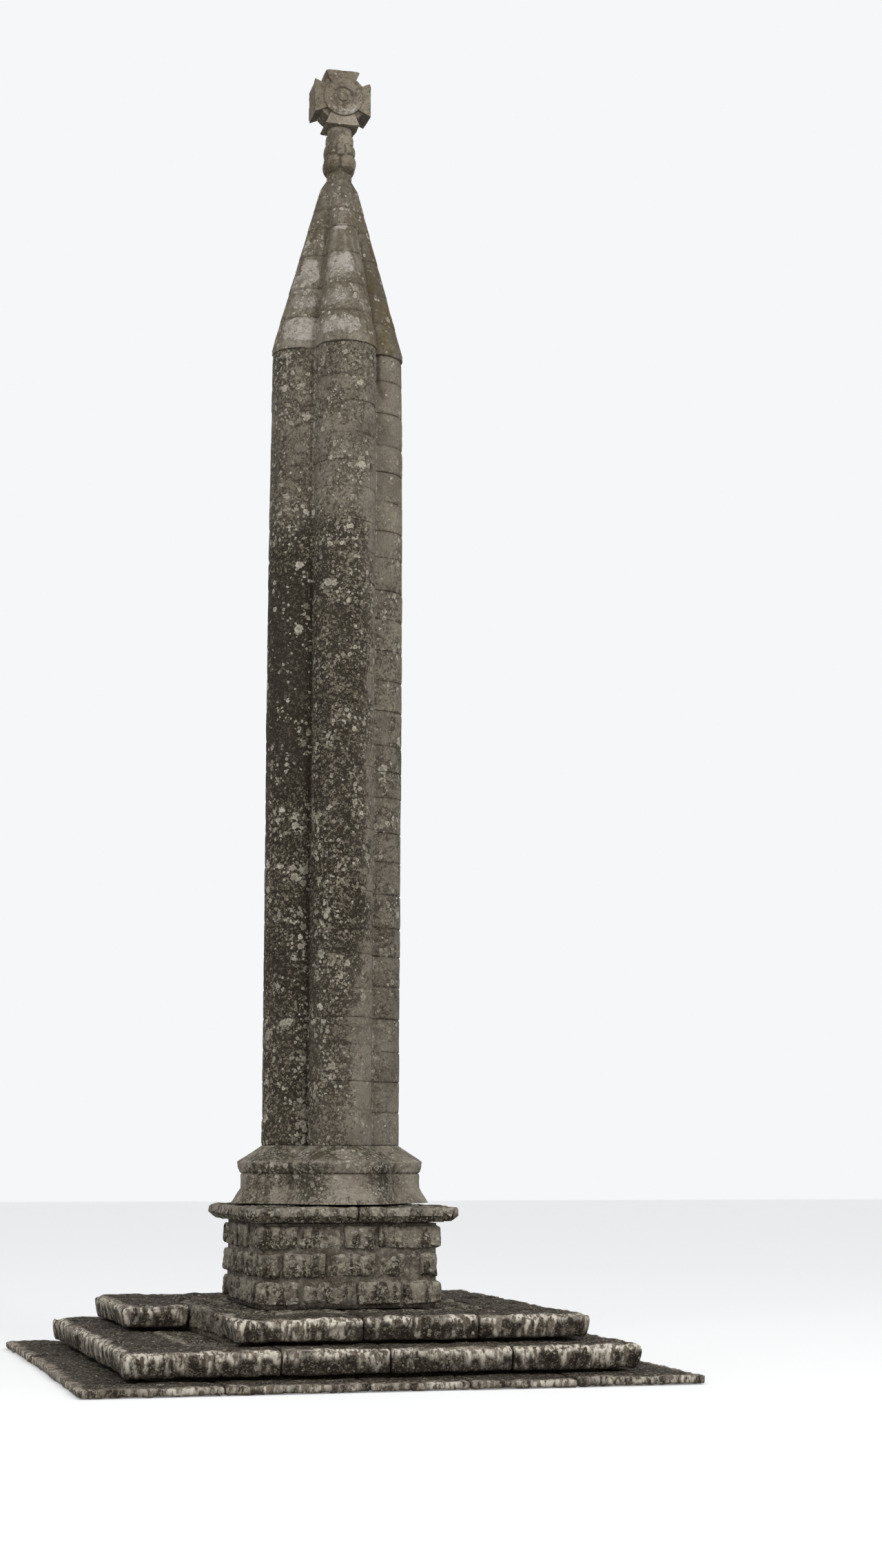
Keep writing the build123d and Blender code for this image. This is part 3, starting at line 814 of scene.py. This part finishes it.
def carvedKnop():
    # the distance out is the largest of the stem, the ring and every lobe hit at that angle and height
    s = knopSet
    sharp = s["sharp"]
    z = np.linspace(s["low"], s["high"], s["rows"])[:, None]
    angle = np.linspace(0, 2 * math.pi, s["cols"], endpoint=False)[None, :]
    reach = np.full((s["rows"], s["cols"]), s["stem"] - 0.004)
    groove, hollow = np.zeros_like(reach), np.zeros_like(reach)
    for count, first, middle, half, far, radius in s["tiers"]:
        slim, hub = roundShare(z, middle, half), far - radius
        for n in range(count):
            gap = np.angle(np.exp(1j * (angle - math.radians(first + s["turn"] + 360 * n / count - 90))))
            inside = (radius * slim ** 0.8) ** 2 - (hub * np.sin(gap)) ** 2
            out = hub * np.cos(gap) + np.sqrt(np.clip(inside, 0, None))
            hit = np.where((inside > 0) & (np.cos(gap) > 0), out, 0)
            # where lobes meet: a narrow and a wide crease, both used for painted shade
            groove = np.maximum(groove, bell(hit - reach, 0.006) * (hit > s["stem"]))
            hollow = np.maximum(hollow, bell(hit - reach, 0.018) * (hit > s["stem"]))
            reach = np.log(np.exp(sharp * reach) + np.exp(sharp * hit)) / sharp
    middle, half, far = s["ring"]
    reach = np.maximum(reach, s["stem"] + (far - s["stem"]) * roundShare(z, middle, half) - 0.002)
    points = np.stack([reach * np.cos(angle), reach * np.sin(angle), z + 0 * angle], -1)
    out = np.stack([np.cos(angle) + 0 * z, np.sin(angle) + 0 * z, 0 * reach], -1)
    pull = s["inset"] + waves(points, *s["skin"]) + humps(points, *s["flakes"])
    points = points - out * pull[..., None]
    # painted shade in the wide creases between lobes, over the dark film
    film = 0.30 + 0.30 * ease(-np.cos(angle), -0.2, 0.8) + 0.45 * hollow + waves(points, *s["film"])
    # painted shade in the narrow creases, by the joint mark
    return closedSheet(points, {"tone": 0.5, "joint": 0.75 * groove, "film": unit(film)})


makePiece("carvedKnop", [carvedKnop()], materials["carved"], "carved_stone", "knop")


# Cross

crossSet = {"middle": 10.519, "half": 0.245, "depth": 0.280, "endHalf": 0.150, "rootHalf": 0.042,
            "turn": -2.0, "edge": 0.011, "tipWear": 0.040, "skin": 0.005}
discSet = {"reach": 0.215, "proud": -0.022, "edge": 0.008, "skin": 0.004, "first": 0.010, "faceRows": 12,
           "rim": [0.5, 0.15, 0.0], "sideRows": 14, "sideInset": 0.014}
medalSet = {"reach": 0.168, "proud": 0.020, "edge": 0.007, "skin": 0.0035, "first": 0.002, "faceRows": 40,
            "rim": [0.6, 0.2, 0.0], "sideRows": 12, "sideInset": 0.012,
            "dish": 0.094, "dishDeep": 0.012, "dishSlope": 0.022, "boss": 0.046}


def placedOnHead(part):
    # from the cross's own frame to its place: turned about Z and raised to its middle
    a = math.radians(crossSet["turn"])
    part["verts"][:, 2] += crossSet["middle"]
    return turned(part, math.cos(a), math.sin(a))


def frontRings(outline, halfDepth, roundEdge, rings, sideRows=22):
    # rows from the front face's middle out to the rim, over the rounded edge, along the side and in again
    long = np.linalg.norm(outline, axis=-1)[:, None]
    front = [(outline * (1 - roundEdge / long) * share, -halfDepth) for share in np.linspace(0.03, 1, rings)]
    for a in np.radians((30, 60, 90)):
        inset, back = roundEdge * (1 - math.sin(a)), roundEdge * (1 - math.cos(a))
        front.append((outline * (1 - inset / long), -halfDepth + back))
    steps = np.linspace(-halfDepth + roundEdge, halfDepth - roundEdge, sideRows)[1:-1]
    every = front + [(outline, step) for step in steps] + [(row, -depth) for row, depth in reversed(front)]
    xz = np.stack([row for row, _ in every])
    depth = np.array([depth for _, depth in every])[:, None] + 0 * xz[..., 0]
    return np.stack([xz[..., 0], depth, xz[..., 1]], -1)


def weatheredSolid(points, seed, amount, cell):
    # every point drawn a little towards the middle by layered noise
    away = points / np.maximum(np.linalg.norm(points, axis=-1, keepdims=True), 0.05)
    pull = 0.5 + waves(points, 0.5, cell, seed, 4) + humps(points, 0.6, 0.022, seed + 3, 0.2, 0.8)
    return points - away * (amount * pull)[..., None]


def crossArms():
    # outline of four flared arms, run round clockwise as seen from the front so that faces point out
    s = crossSet
    flare = (s["endHalf"] - s["rootHalf"]) / s["half"]
    d = np.linspace(s["rootHalf"] / (1 - flare), s["half"], 26)      # from where two arms' edges meet
    wide = s["rootHalf"] + flare * d
    across = np.linspace(-s["endHalf"], s["endHalf"], 30)[1:-1]
    arm = np.vstack([np.stack([-wide, d], -1), np.stack([across, 0 * across + s["half"]], -1),
                     np.stack([wide, d], -1)[::-1][:-1]])
    loops = []
    for n in range(4):
        c, t = math.cos(-n * math.pi / 2), math.sin(-n * math.pi / 2)
        loops.append(arm @ np.array([[c, t], [-t, c]]))
    points = frontRings(np.concatenate(loops)[::-1], s["depth"] / 2, s["edge"], 26)
    x, z = np.abs(points[..., 0]), np.abs(points[..., 2])
    tip = np.minimum(np.abs(x - s["half"]) + np.abs(z - s["endHalf"]),
                     np.abs(z - s["half"]) + np.abs(x - s["endHalf"]))
    worn = bell(tip, 0.020) * (0.6 + 0.7 * softNoise(points, 0.11, 74))
    points[..., [0, 2]] *= (1 - s["tipWear"] * unit(worn))[..., None]
    points = weatheredSolid(points, 71, s["skin"], 0.07)
    limit = s["half"] - 0.0005
    points[..., [0, 2]] = np.clip(points[..., [0, 2]], -limit, limit)
    ends = ease(np.abs(points[..., 0]), s["half"] - 0.012, s["half"] - 0.002)
    low = ease(-points[..., 2], 0.10, 0.18) * (1 - ends)                 # the lower arm is the cleanest
    film = 0.28 + 0.4 * layeredNoise(points, 0.12, 72, 3) + 0.22 * ends - 0.25 * low
    return closedSheet(points, {"tone": 0.5 + 0.4 * low, "film": unit(film)})


def turnedProfile(s):
    # a turned solid's section in radius and depth: from its middle out, over a rounded edge, along the side
    # and back; where the settings have a dish, it sinks the middle round a low boss
    face = crossSet["depth"] / 2 + s["proud"]
    r = np.concatenate([np.linspace(s["first"], s["reach"] - s["edge"], s["faceRows"]),
                        s["reach"] - s["edge"] * np.array(s["rim"])])
    depth = face - s["edge"] * unit((r - s["reach"] + s["edge"]) / s["edge"]) ** 2
    if "dish" in s:
        bowl = s["dishDeep"] * (1 - ease(r, s["dish"] - s["dishSlope"], s["dish"]))
        depth = depth - bowl * ease(r, s["boss"] - 0.014, s["boss"] + 0.004)
    along = np.linspace(-face + s["sideInset"], face - s["sideInset"], s["sideRows"])
    side = np.stack([0 * along + s["reach"], along], -1)
    return np.vstack([np.stack([r, -depth], -1), side, np.stack([r, depth], -1)[::-1]])


def turnedFace(s, seed, cols=140):
    # the section turned about the cross's front-to-back line, its skin worn by noise
    profile = turnedProfile(s)
    radius, depth = profile[:, 0][:, None], profile[:, 1][:, None]
    angle = np.linspace(0, 2 * math.pi, cols, endpoint=False)[None, :]
    points = np.stack([radius * np.cos(angle), depth + 0 * angle, radius * np.sin(angle)], -1)
    points = weatheredSolid(points, seed, s["skin"], 0.06)
    film = unit(0.35 + 0.4 * layeredNoise(points, 0.12, 72, 3))
    marks = {"tone": 0.45, "film": film}
    if "dish" in s:
        upper, dish = 0.5 + 0.5 * np.sin(angle), s["dish"]
        rim = bell(radius - dish + 0.004, 0.007) * upper                        # shadow under the upper rim
        marks["joint"] = 0.55 * rim * shareNoise(points, 0.05, 73)
        marks["pale"] = 0.55 * ease(radius, dish, dish + 0.02) * (1 - upper)    # the lower ring is cleaner
        # painted shade inside the dish
        marks["film"] = unit(film + 0.12 * (radius < dish))
    return closedSheet(points, marks)


crossParts = [placedOnHead(part) for part in (crossArms(), turnedFace(medalSet, 81), turnedFace(discSet, 85))]
makePiece("crossHead", crossParts, materials["carved"], "carved_stone", "cross")


# Single stones for the steps, the slab and the pedestal

quarterTurns = [(1, 0), (0, 1), (-1, 0), (0, -1)]       # cosine and sine for each side of a square
stoneSet = {"apart": np.array([3.7, 1.3, 0.0]),       # how far the noise moves on from stone to stone
            "reach": 0.25, "edgeWidth": 0.06, "lostShare": 0.6, "lostLeast": 0.55,
            "lostWaves": (0.35, 0.13, 94, 2), "along": np.array([0.4, 1, 1]),
            "alongFine": np.array([0.5, 1, 1]), "upright": np.array([1, 1, 0.22])}
endRings = (0.15, 0.3, 0.45, 0.6, 0.72, 0.84, 0.93, 1.0)     # shares of the outline that close a stone's end


def roundedLoop(corners, radii, spacing):
    # a closed outline in depth and height: arcs at the corners, evenly spaced points on the edges between
    count = len(corners)
    corners = np.array(corners, float)
    share = np.linspace(0, 1, 5)[:, None]
    arcs = []
    for n in range(count):
        here, beside = corners[n], (corners[n - 1], corners[(n + 1) % count])
        u, v = [(other - here) / np.linalg.norm(other - here) for other in beside]
        half = math.acos(np.clip(u @ v, -1, 1)) / 2
        centre = here + (u + v) / np.linalg.norm(u + v) * radii[n] / math.sin(half)
        start, end = [here + way * radii[n] / math.tan(half) - centre for way in (u, v)]
        ray = start * (1 - share) + end * share
        ray = ray / np.linalg.norm(ray, axis=1)[:, None]
        arcs.append((centre + ray * radii[n], ray))
    points, normals = [], []
    for n, (arc, ray) in enumerate(arcs):
        nextArc, nextRay = arcs[(n + 1) % count]
        steps = max(1, int(np.linalg.norm(nextArc[0] - arc[-1]) / spacing[n]))
        along = (np.arange(1, steps) / steps)[:, None]
        points += [arc, arc[-1] * (1 - along) + nextArc[0] * along]
        normals += [ray, ray[-1] * (1 - along) + nextRay[0] * along]
    return np.vstack(points), np.vstack(normals)


def stoneRows(x0, x1, look):
    # rows along a stone: the place along X, how far the outline is drawn in there, and its share of full size
    edge = min(look["ends"], (x1 - x0) / 4)
    run = np.linspace(x0 + edge, x1 - edge, max(3, int((x1 - x0 - 2 * edge) / look["step"])))
    head = [(x0, edge, keep) for keep in endRings] + [(x0 + 0.3 * edge, 0.3 * edge, 1.0)]
    tail = [(x1 + x0 - x, inset, keep) for x, inset, keep in reversed(head)]
    rows = head + [(x, 0.0, 1.0) for x in run] + tail
    return [np.array(values)[:, None] for values in zip(*rows)]


def faceLoss(flat, high, look):
    # how far a face goes back: deeper towards its foot, with upright grooves; flat has the place on the face
    grooves = 1 - np.abs(softNoise(flat * stoneSet["upright"], look["dripCell"], 92))
    back = look["drip"] * grooves * (0.35 + 0.65 * (1 - high)) * shareNoise(flat, 0.2, 93)
    return grooves, back + look["undercut"] * (1 - high) ** 1.4 * (0.6 + 0.4 * softNoise(flat, 0.3, 96))


def stoneMarks(where, high, corner, riser, tread, drips, look):
    # pale worn edges with runs down the riser, darker towards its foot with dark film and painted shade under
    # the nose, dark growth on the tread, thin pale patches
    worn = (1 - ease(corner, 0.035, 0.095)) * humps(where, 1.0, 0.16, 88, -0.7, 0.1)
    worn = worn + look["runs"] * riser * high ** 0.6 * ease(drips, 0.85, 0.45)
    # darker towards the riser's foot: dark film, and painted shade under the nose
    film = look["film"] + look["footFilm"] * riser * (1 - high)
    film = film + look["treadFilm"] * tread * ease(corner, 0.04, 0.12)
    film = film + 0.6 * riser * ease(drips, 0.70, 0.97) - 0.35 * riser * ease(drips, 0.6, 0.2)
    film = film + 0.4 * layeredNoise(where, 0.35, 90, 3)
    patches = ease(layeredNoise(where * stoneSet["alongFine"], 0.22, 87, 3), 0.0, 0.6)
    return {"worn": unit(look["pale"] * worn), "film": unit(film),
            "pale": look["patches"] * tread * patches * (1 - ease(corner, 0.15, 0.50))}


def wornStone(x0, x1, outline, look, seed, bare=(False, False)):
    # the outline is carried along X; its ends are rounded, and noise, drips and chips only take stone away;
    # an end that is bare, low or high, weathers like the front
    s = stoneSet
    loop, normal = outline
    x, inset, keep = stoneRows(x0, x1, look)
    centre, middle, reach = loop.mean(0), (loop.max(0) + loop.min(0)) / 2, (loop.max(0) - loop.min(0)) / 2
    y, z = [((loop[:, k] - middle[k]) * (1 - inset / reach[k]) + middle[k] - centre[k]) * keep + centre[k]
            for k in (0, 1)]
    points = np.stack([x + 0 * y, y, z], -1)
    where = points + seed * s["apart"]
    up, front = unit(normal[None, :, 1]), unit(-normal[None, :, 0])
    high = (z - z.min()) / (z.max() - z.min())
    toLow = x < (x0 + x1) / 2
    inwards = np.where(toLow, 1, -1)
    away = np.minimum(x - x0, x1 - x)
    shown = np.where(toLow, float(bare[0]), float(bare[1]))
    face = shown * (inset > 0)

    flatFront, flatEnd = where.copy(), where.copy()
    flatFront[..., 1] = y.min()
    flatEnd[..., 0] = np.where(toLow, x0, x1) + seed * s["apart"][0]
    (drips, frontBack), (endDrips, endBack) = faceLoss(flatFront, high, look), faceLoss(flatEnd, high, look)
    endBack = endBack + np.clip(look["endSlope"] - (z - z.min()), 0, None)
    edges = [np.hypot(y - y.min(), z - z.max()), np.hypot(away, z - z.max()) + 9 * (1 - shown)]
    lost = s["lostLeast"] + waves(where, *s["lostWaves"]) + 0.25 * softNoise(where, 0.045, 86)
    lost = s["lostShare"] * look["scallop"] * np.clip(lost, 0, None)
    frontLost, endLost = [lost * bell(far, s["edgeWidth"]) for far in edges]        # worn off the upper edges

    pull = look["rough"] * (0.6 + layeredNoise(where, look["cell"], 91, 4))
    pull = pull + humps(where, 0.7 * look["rough"], 0.026, 95, 0.15, 0.75)
    trodden = shareNoise(where * s["along"], 0.12, 97)
    trodden = trodden + 0.8 * ease(layeredNoise(where * s["alongFine"], 0.05, 89, 3), -0.1, 0.6)
    pull = np.clip(pull + up * look["dish"] * trodden, 0, None) * keep
    points[..., 1] -= normal[None, :, 0] * pull
    points[..., 2] -= normal[None, :, 1] * pull
    points[..., 1] += frontBack * unit(1 - (y - y.min()) / s["reach"]) + frontLost
    points[..., 2] -= np.maximum(frontLost, endLost) * high
    rim = len(endRings) - 1
    for inner, outer in ((slice(0, rim), rim), (slice(-rim, None), -rim - 1)):     # the ends follow suit
        points[inner, :, 1:] = centre + keep[inner][..., None] * (points[outer, :, 1:] - centre)
    dent = look["rough"] * (0.6 - 0.8 * layeredNoise(where, 0.09, 98, 3)) * inwards
    points[..., 0] += np.where(inset > 0, 1.0, 0.0) * np.where(keep < 1, dent, 0.4 * dent)
    points[..., 0] += (shown * endBack * unit(1 - away / s["reach"]) + endLost) * inwards

    riser, tread, drips = np.maximum(front, face), up * (1 - face), np.where(face > 0, endDrips, drips)
    corner = np.minimum(*edges) + 0.035 * layeredNoise(where, 0.08, 99, 3)
    ends, foot = bell(away, 0.012) * (1 - shown), bell(z - z.min(), 0.02) * riser
    marks = stoneMarks(where, high, corner, riser, tread, drips, look)
    marks["tone"] = randomNumber(0, 1, seed)
    # painted shade in the gaps at the stone's ends and at the riser's foot, by the joint mark
    marks["joint"] = unit(0.8 * ends + look["footShade"] * foot)
    return closedSheet(points, marks)


def cutLengths(low, high, shortest, longest, seed):
    # random stone lengths that fill a run exactly
    rng = np.random.default_rng(seed)
    count = max(1, int(round((high - low) / ((shortest + longest) / 2))))
    sizes = rng.uniform(shortest, longest, count)
    return low + np.concatenate([[0], np.cumsum(sizes)]) / sizes.sum() * (high - low)


def layStones(side, cuts, outlineOf, look, firstSeed, bare):
    # stones side by side from cut to cut, turned to their side; bare says whether the row's two ends show
    parts = []
    last, gap = len(cuts) - 2, look["gap"] / 2
    for n in range(last + 1):
        ends = (bare[0] and n == 0, bare[1] and n == last)
        stone = wornStone(cuts[n] + gap, cuts[n + 1] - gap, outlineOf(n), look, firstSeed + n, ends)
        parts.append(turned(stone, *quarterTurns[side]))
    return parts


def squareSides(half, depth, first=0):
    # for each side of a square, from where to where its row runs and which ends show: every other row takes
    # the corners, and the rest fit in between
    for side in range(4):
        through = (side + first) % 2 == 0
        reach = half if through else half - depth
        yield side, (-reach, reach), (through, through)


def layRow(side, half, depth, levels, reach, lengths, look, seed, bare=(False, False)):
    # a row along one side of a square; side 0 is the front and each next one a quarter turn on;
    # each stone's top settles and its face steps back by its own random amount
    z0, z1 = levels

    def outlineOf(n):
        # the rounded section of the row's stone n
        top = z1 - randomNumber(0, look["settle"], seed + 31 * n)
        face, inside = -half + randomNumber(0, look["stepBack"], seed + 57 * n), -half + depth
        radii = [look[key] for key in ("round", "nose", "round", "round")]
        return roundedLoop([(inside, top), (face, top), (face, z0), (inside, z0)], radii, look["spacing"])

    return layStones(side, cutLengths(*reach, *lengths, seed), outlineOf, look, seed * 10, bare)


stepLook = {"ends": 0.018, "step": 0.0175, "rough": 0.010, "cell": 0.10, "drip": 0.026, "dripCell": 0.060,
            "scallop": 0.050, "undercut": 0.055, "dish": 0.014, "pale": 1.2, "settle": 0.010,
            "stepBack": 0.016, "round": 0.022, "nose": 0.042, "spacing": [0.022, 0.013, 0.045, 0.07],
            "gap": 0.004, "footShade": 0.9, "film": 0.30, "treadFilm": 0.70, "footFilm": 0.65,
            "runs": 1.0, "endSlope": 0.0, "patches": 0.55}
lowLook = {**stepLook, "undercut": 0.012, "drip": 0.010, "stepBack": 0.030, "settle": 0.014, "nose": 0.020,
           "scallop": 0.020, "pale": 0.45, "patches": 0.35, "film": 0.38, "treadFilm": 0.90}
rubbleLook = {**stepLook, "ends": 0.026, "step": 0.018, "rough": 0.022, "drip": 0.006, "scallop": 0.016,
              "undercut": 0.0, "dish": 0.004, "pale": 0.45, "footFilm": 0.35, "runs": 0.35, "patches": 0.0,
              "settle": 0.006, "stepBack": 0.040, "nose": 0.026, "spacing": [0.05, 0.017, 0.05, 0.10],
              "gap": 0.006, "footShade": 0.5}

sideNames = ["front", "right", "back", "left"]
rowDepth = 0.55
lostFrom = 0.100            # the upper step's left row is lost from here to the front
steps = [  # name, half, bottom and top, shortest and longest stone, look
    ("lower_step", 2.300, (0.0, 0.090), (0.75, 1.25), lowLook),
    ("middle_step", 1.950, (0.090, 0.300), (0.65, 1.10), stepLook),
    ("upper_step", 1.650, (0.300, 0.500), (0.60, 1.00), stepLook),
]

for level, (name, half, levels, lengths, look) in enumerate(steps):
    for side, (low, high), bare in squareSides(half, rowDepth):
        if name == "upper_step" and side == 0:
            low = rowDepth - half                   # the left corner stone is lost with the row behind it
        if name == "upper_step" and side == 3:
            high, bare = -lostFrom, (False, True)   # on the left, X runs from the back to the front
        seed = 200 + 40 * level + 7 * side
        stones = layRow(side, half, rowDepth, levels, (low, high), lengths, look, seed, bare)
        makePiece(name.replace("_s", "S") + "Stones_" + sideNames[side], stones, materials["step"],
                  "step_stone", name + "_" + sideNames[side])


# Paving and core

def plainBlock(half, z0, z1, seed):
    # a fill a little smaller than what covers it, painted dark as shade by its joint mark, so that open
    # joints never show through
    t = np.linspace(-1, 1, 24)[:-1]
    one = np.ones(len(t))
    ring = np.concatenate([np.stack(side, -1) for side in ((t, -one), (one, t), (-t, one), (-one, -t))])
    z = np.linspace(z0, z1, 8)[:, None] + 0 * ring[:, 0]
    points = np.stack([ring[:, 0] * half + 0 * z, ring[:, 1] * half + 0 * z, z], -1)
    points = points * (1 - 0.01 * shareNoise(points, 0.12, seed)[..., None] * np.array([1, 1, 0]))
    return closedSheet(points, {"tone": 0.3, "joint": 0.9})


paveLook = {**rubbleLook, "stepBack": 0.0, "spacing": [0.03, 0.02, 0.08, 0.08], "dish": 0.010,
            "settle": 0.012}
# side, half, depth, bottom and top, from and to, shortest and longest stone, seed
paving = [(side, 1.10, 0.40, (0.300, 0.500), run, (0.35, 0.70), 400 + side)
          for side, run, _ in squareSides(1.10, 0.40)]
paving += [(3, 1.40, 0.32, (0.100, 0.300), (-0.40, 1.40), (0.35, 0.70), 430),
           (0, 1.40, 0.32, (0.100, 0.300), (-1.08, -0.50), (0.35, 0.60), 440)]
fills = [(1.72, 0.0, 0.060, 3), (1.37, 0.060, 0.265, 4), (1.07, 0.265, 0.462, 5)]  # half, bottom, top, seed
coreParts = [plainBlock(*fill) for fill in fills]
for *row, seed in paving:
    coreParts += layRow(*row, paveLook, seed)
makePiece("coreAndPaving", coreParts, materials["rubble"], "core_rubble", "platform_core")


# Pedestal

pedestalSet = {"half": 0.740, "low": 0.500, "high": 1.130, "courses": 3, "depth": 0.20, "bed": 0.002,
               "lengths": (0.26, 0.52), "seed": 500}


def pedestalStones():
    # courses of rough stones round a dark fill; from course to course other rows run through to the corners
    s = pedestalSet
    levels = np.linspace(s["low"], s["high"], s["courses"] + 1)
    parts = [plainBlock(s["half"] - 0.050, s["low"] - 0.02, s["high"] - 0.004, 9)]
    for n in range(s["courses"]):
        bed = (levels[n] + s["bed"], levels[n + 1] - s["bed"])
        for side, run, bare in squareSides(s["half"], s["depth"], n):
            parts += layRow(side, s["half"], s["depth"], bed, run, s["lengths"], rubbleLook,
                            s["seed"] + 20 * n + side, bare)
    return parts


makePiece("pedestalStones", pedestalStones(), materials["rubble"], "rough_masonry", "pedestal_block")


slabSet = {"half": 0.840, "low": 1.130, "high": 1.270, "slope": 0.050, "depth": 0.42, "lengths": (0.7, 1.0),
           "cutSeed": 600, "stoneSeed": 610, "radii": [0.01, 0.022, 0.014, 0.012, 0.01],
           "spacing": [0.024, 0.014, 0.016, 0.06, 0.05]}
slabLook = {**stepLook, "drip": 0.010, "undercut": 0.0, "scallop": 0.034, "rough": 0.012, "step": 0.018,
            "footShade": 0.0, "pale": 0.5, "film": 0.42, "cell": 0.07, "footFilm": 0.35, "runs": 0.35,
            "patches": 0.3, "endSlope": slabSet["slope"], "treadFilm": 0.5}


def slabStones():
    # two stones a side with a sloping underside
    s = slabSet
    back, low = -s["half"] + s["depth"], s["low"]
    corners = [(back, s["high"]), (-s["half"], s["high"]), (-s["half"], low + s["slope"]),
               (-s["half"] + s["slope"], low), (back, low)]
    outline = roundedLoop(corners, s["radii"], s["spacing"])
    parts = [plainBlock(s["half"] - 0.10, low + 0.004, s["high"] - 0.030, 12)]
    for side, run, bare in squareSides(s["half"], s["depth"]):
        cuts = cutLengths(*run, *s["lengths"], s["cutSeed"] + side)
        parts += layStones(side, cuts, lambda n: outline, slabLook, s["stoneSeed"] + 3 * side, bare)
    return parts


makePiece("ledgeSlab", slabStones(), materials["base"], "step_stone", "pedestal_slab")


# Camera, floor and light

cameraSet = {"place": (-4.694, -19.564, 1.7), "ahead": (0.2756, 0.9613, 0.0),
             "pitch": math.radians(8.36), "roll": 0.0027, "focalPixels": 3600.0, "frameHigh": 2276.0,
             "sensor": 36.0, "farthest": 300.0}
studioSet = {"floorHalf": 60.0, "floorColour": paint(244, 244, 243), "floorGlow": 0.22, "floorRough": 0.95,
             "backColour": paint(248, 249, 251), "worldLight": 0.68, "worldSeen": 0.30, "aim": (0, 0, 4.5)}
lamps = {  # place, size, power
    "keyLight": ((6.0, -16.0, 15.0), 9.0, 1050.0),
    "fillLight": ((-10.0, -15.0, 12.0), 10.0, 800.0)}


def placeCamera():
    # turned to look ahead and up by the pitch, then rolled about its own line of sight
    s = cameraSet
    camera = bpy.data.objects.new("camera", bpy.data.cameras.new("camera"))
    bpy.context.scene.collection.objects.link(camera)
    camera.data.sensor_width = s["sensor"]
    camera.data.lens = s["sensor"] * s["focalPixels"] / s["frameHigh"]
    ahead = Vector(s["ahead"]).normalized()
    look = Vector((ahead.x * math.cos(s["pitch"]), ahead.y * math.cos(s["pitch"]), math.sin(s["pitch"])))
    right = Vector((ahead.y, -ahead.x, 0.0))
    turn = Matrix((right, right.cross(look), -look)).transposed().to_4x4()
    camera.matrix_world = Matrix.Translation(s["place"]) @ turn @ Matrix.Rotation(s["roll"], 4, "Z")
    camera.data.clip_end = s["farthest"]
    bpy.context.scene.camera = camera


def makeFloor():
    # a pale square that glows a little to the camera only, so that it meets the white world
    s, h = studioSet, studioSet["floorHalf"]
    mesh = bpy.data.meshes.new("floor")
    mesh.from_pydata([(-h, -h, 0), (h, -h, 0), (h, h, 0), (-h, h, 0)], [], [(0, 1, 2, 3)])
    floor = bpy.data.objects.new("floor", mesh)
    bpy.context.scene.collection.objects.link(floor)
    paintwork = bpy.data.materials.new("floorPaint")
    paintwork.use_nodes = True
    w = Wiring(paintwork.node_tree)
    shader = paintwork.node_tree.nodes["Principled BSDF"].inputs
    shader["Base Color"].default_value = s["floorColour"]
    shader["Roughness"].default_value = s["floorRough"]
    shader["Emission Color"].default_value = s["backColour"]
    glow = w.times(w.add("LightPath")["Is Camera Ray"], s["floorGlow"])
    w.tree.links.new(glow, shader["Emission Strength"])
    mesh.materials.append(paintwork)


def makeWorld():
    # a white that lights the object less than it shows to the camera and to mirrors and glass
    s = studioSet
    world = bpy.data.worlds.new("studio")
    bpy.context.scene.world = world
    world.use_nodes = True
    w = Wiring(world.node_tree)
    background = world.node_tree.nodes["Background"].inputs
    rays = w.add("LightPath")
    seen = w.plus(w.plus(rays["Is Camera Ray"], rays["Is Glossy Ray"]), rays["Is Transmission Ray"], True)
    w.tree.links.new(w.math("MULTIPLY_ADD", seen, s["worldSeen"], s["worldLight"]), background["Strength"])
    background["Color"].default_value = s["backColour"]


def areaLight(name, place, size, power):
    # a round lamp turned towards the aim
    lamp = bpy.data.objects.new(name, bpy.data.lights.new(name, "AREA"))
    lamp.data.shape, lamp.data.size, lamp.data.energy = "DISK", size, power
    lamp.location = place
    lamp.rotation_euler = (Vector(studioSet["aim"]) - Vector(place)).to_track_quat("-Z", "Y").to_euler()
    bpy.context.scene.collection.objects.link(lamp)


placeCamera()
makeFloor()
makeWorld()
for name, lamp in lamps.items():
    areaLight(name, *lamp)
bpy.context.scene.view_settings.view_transform = "Standard"
print("camera, floor and light are set")
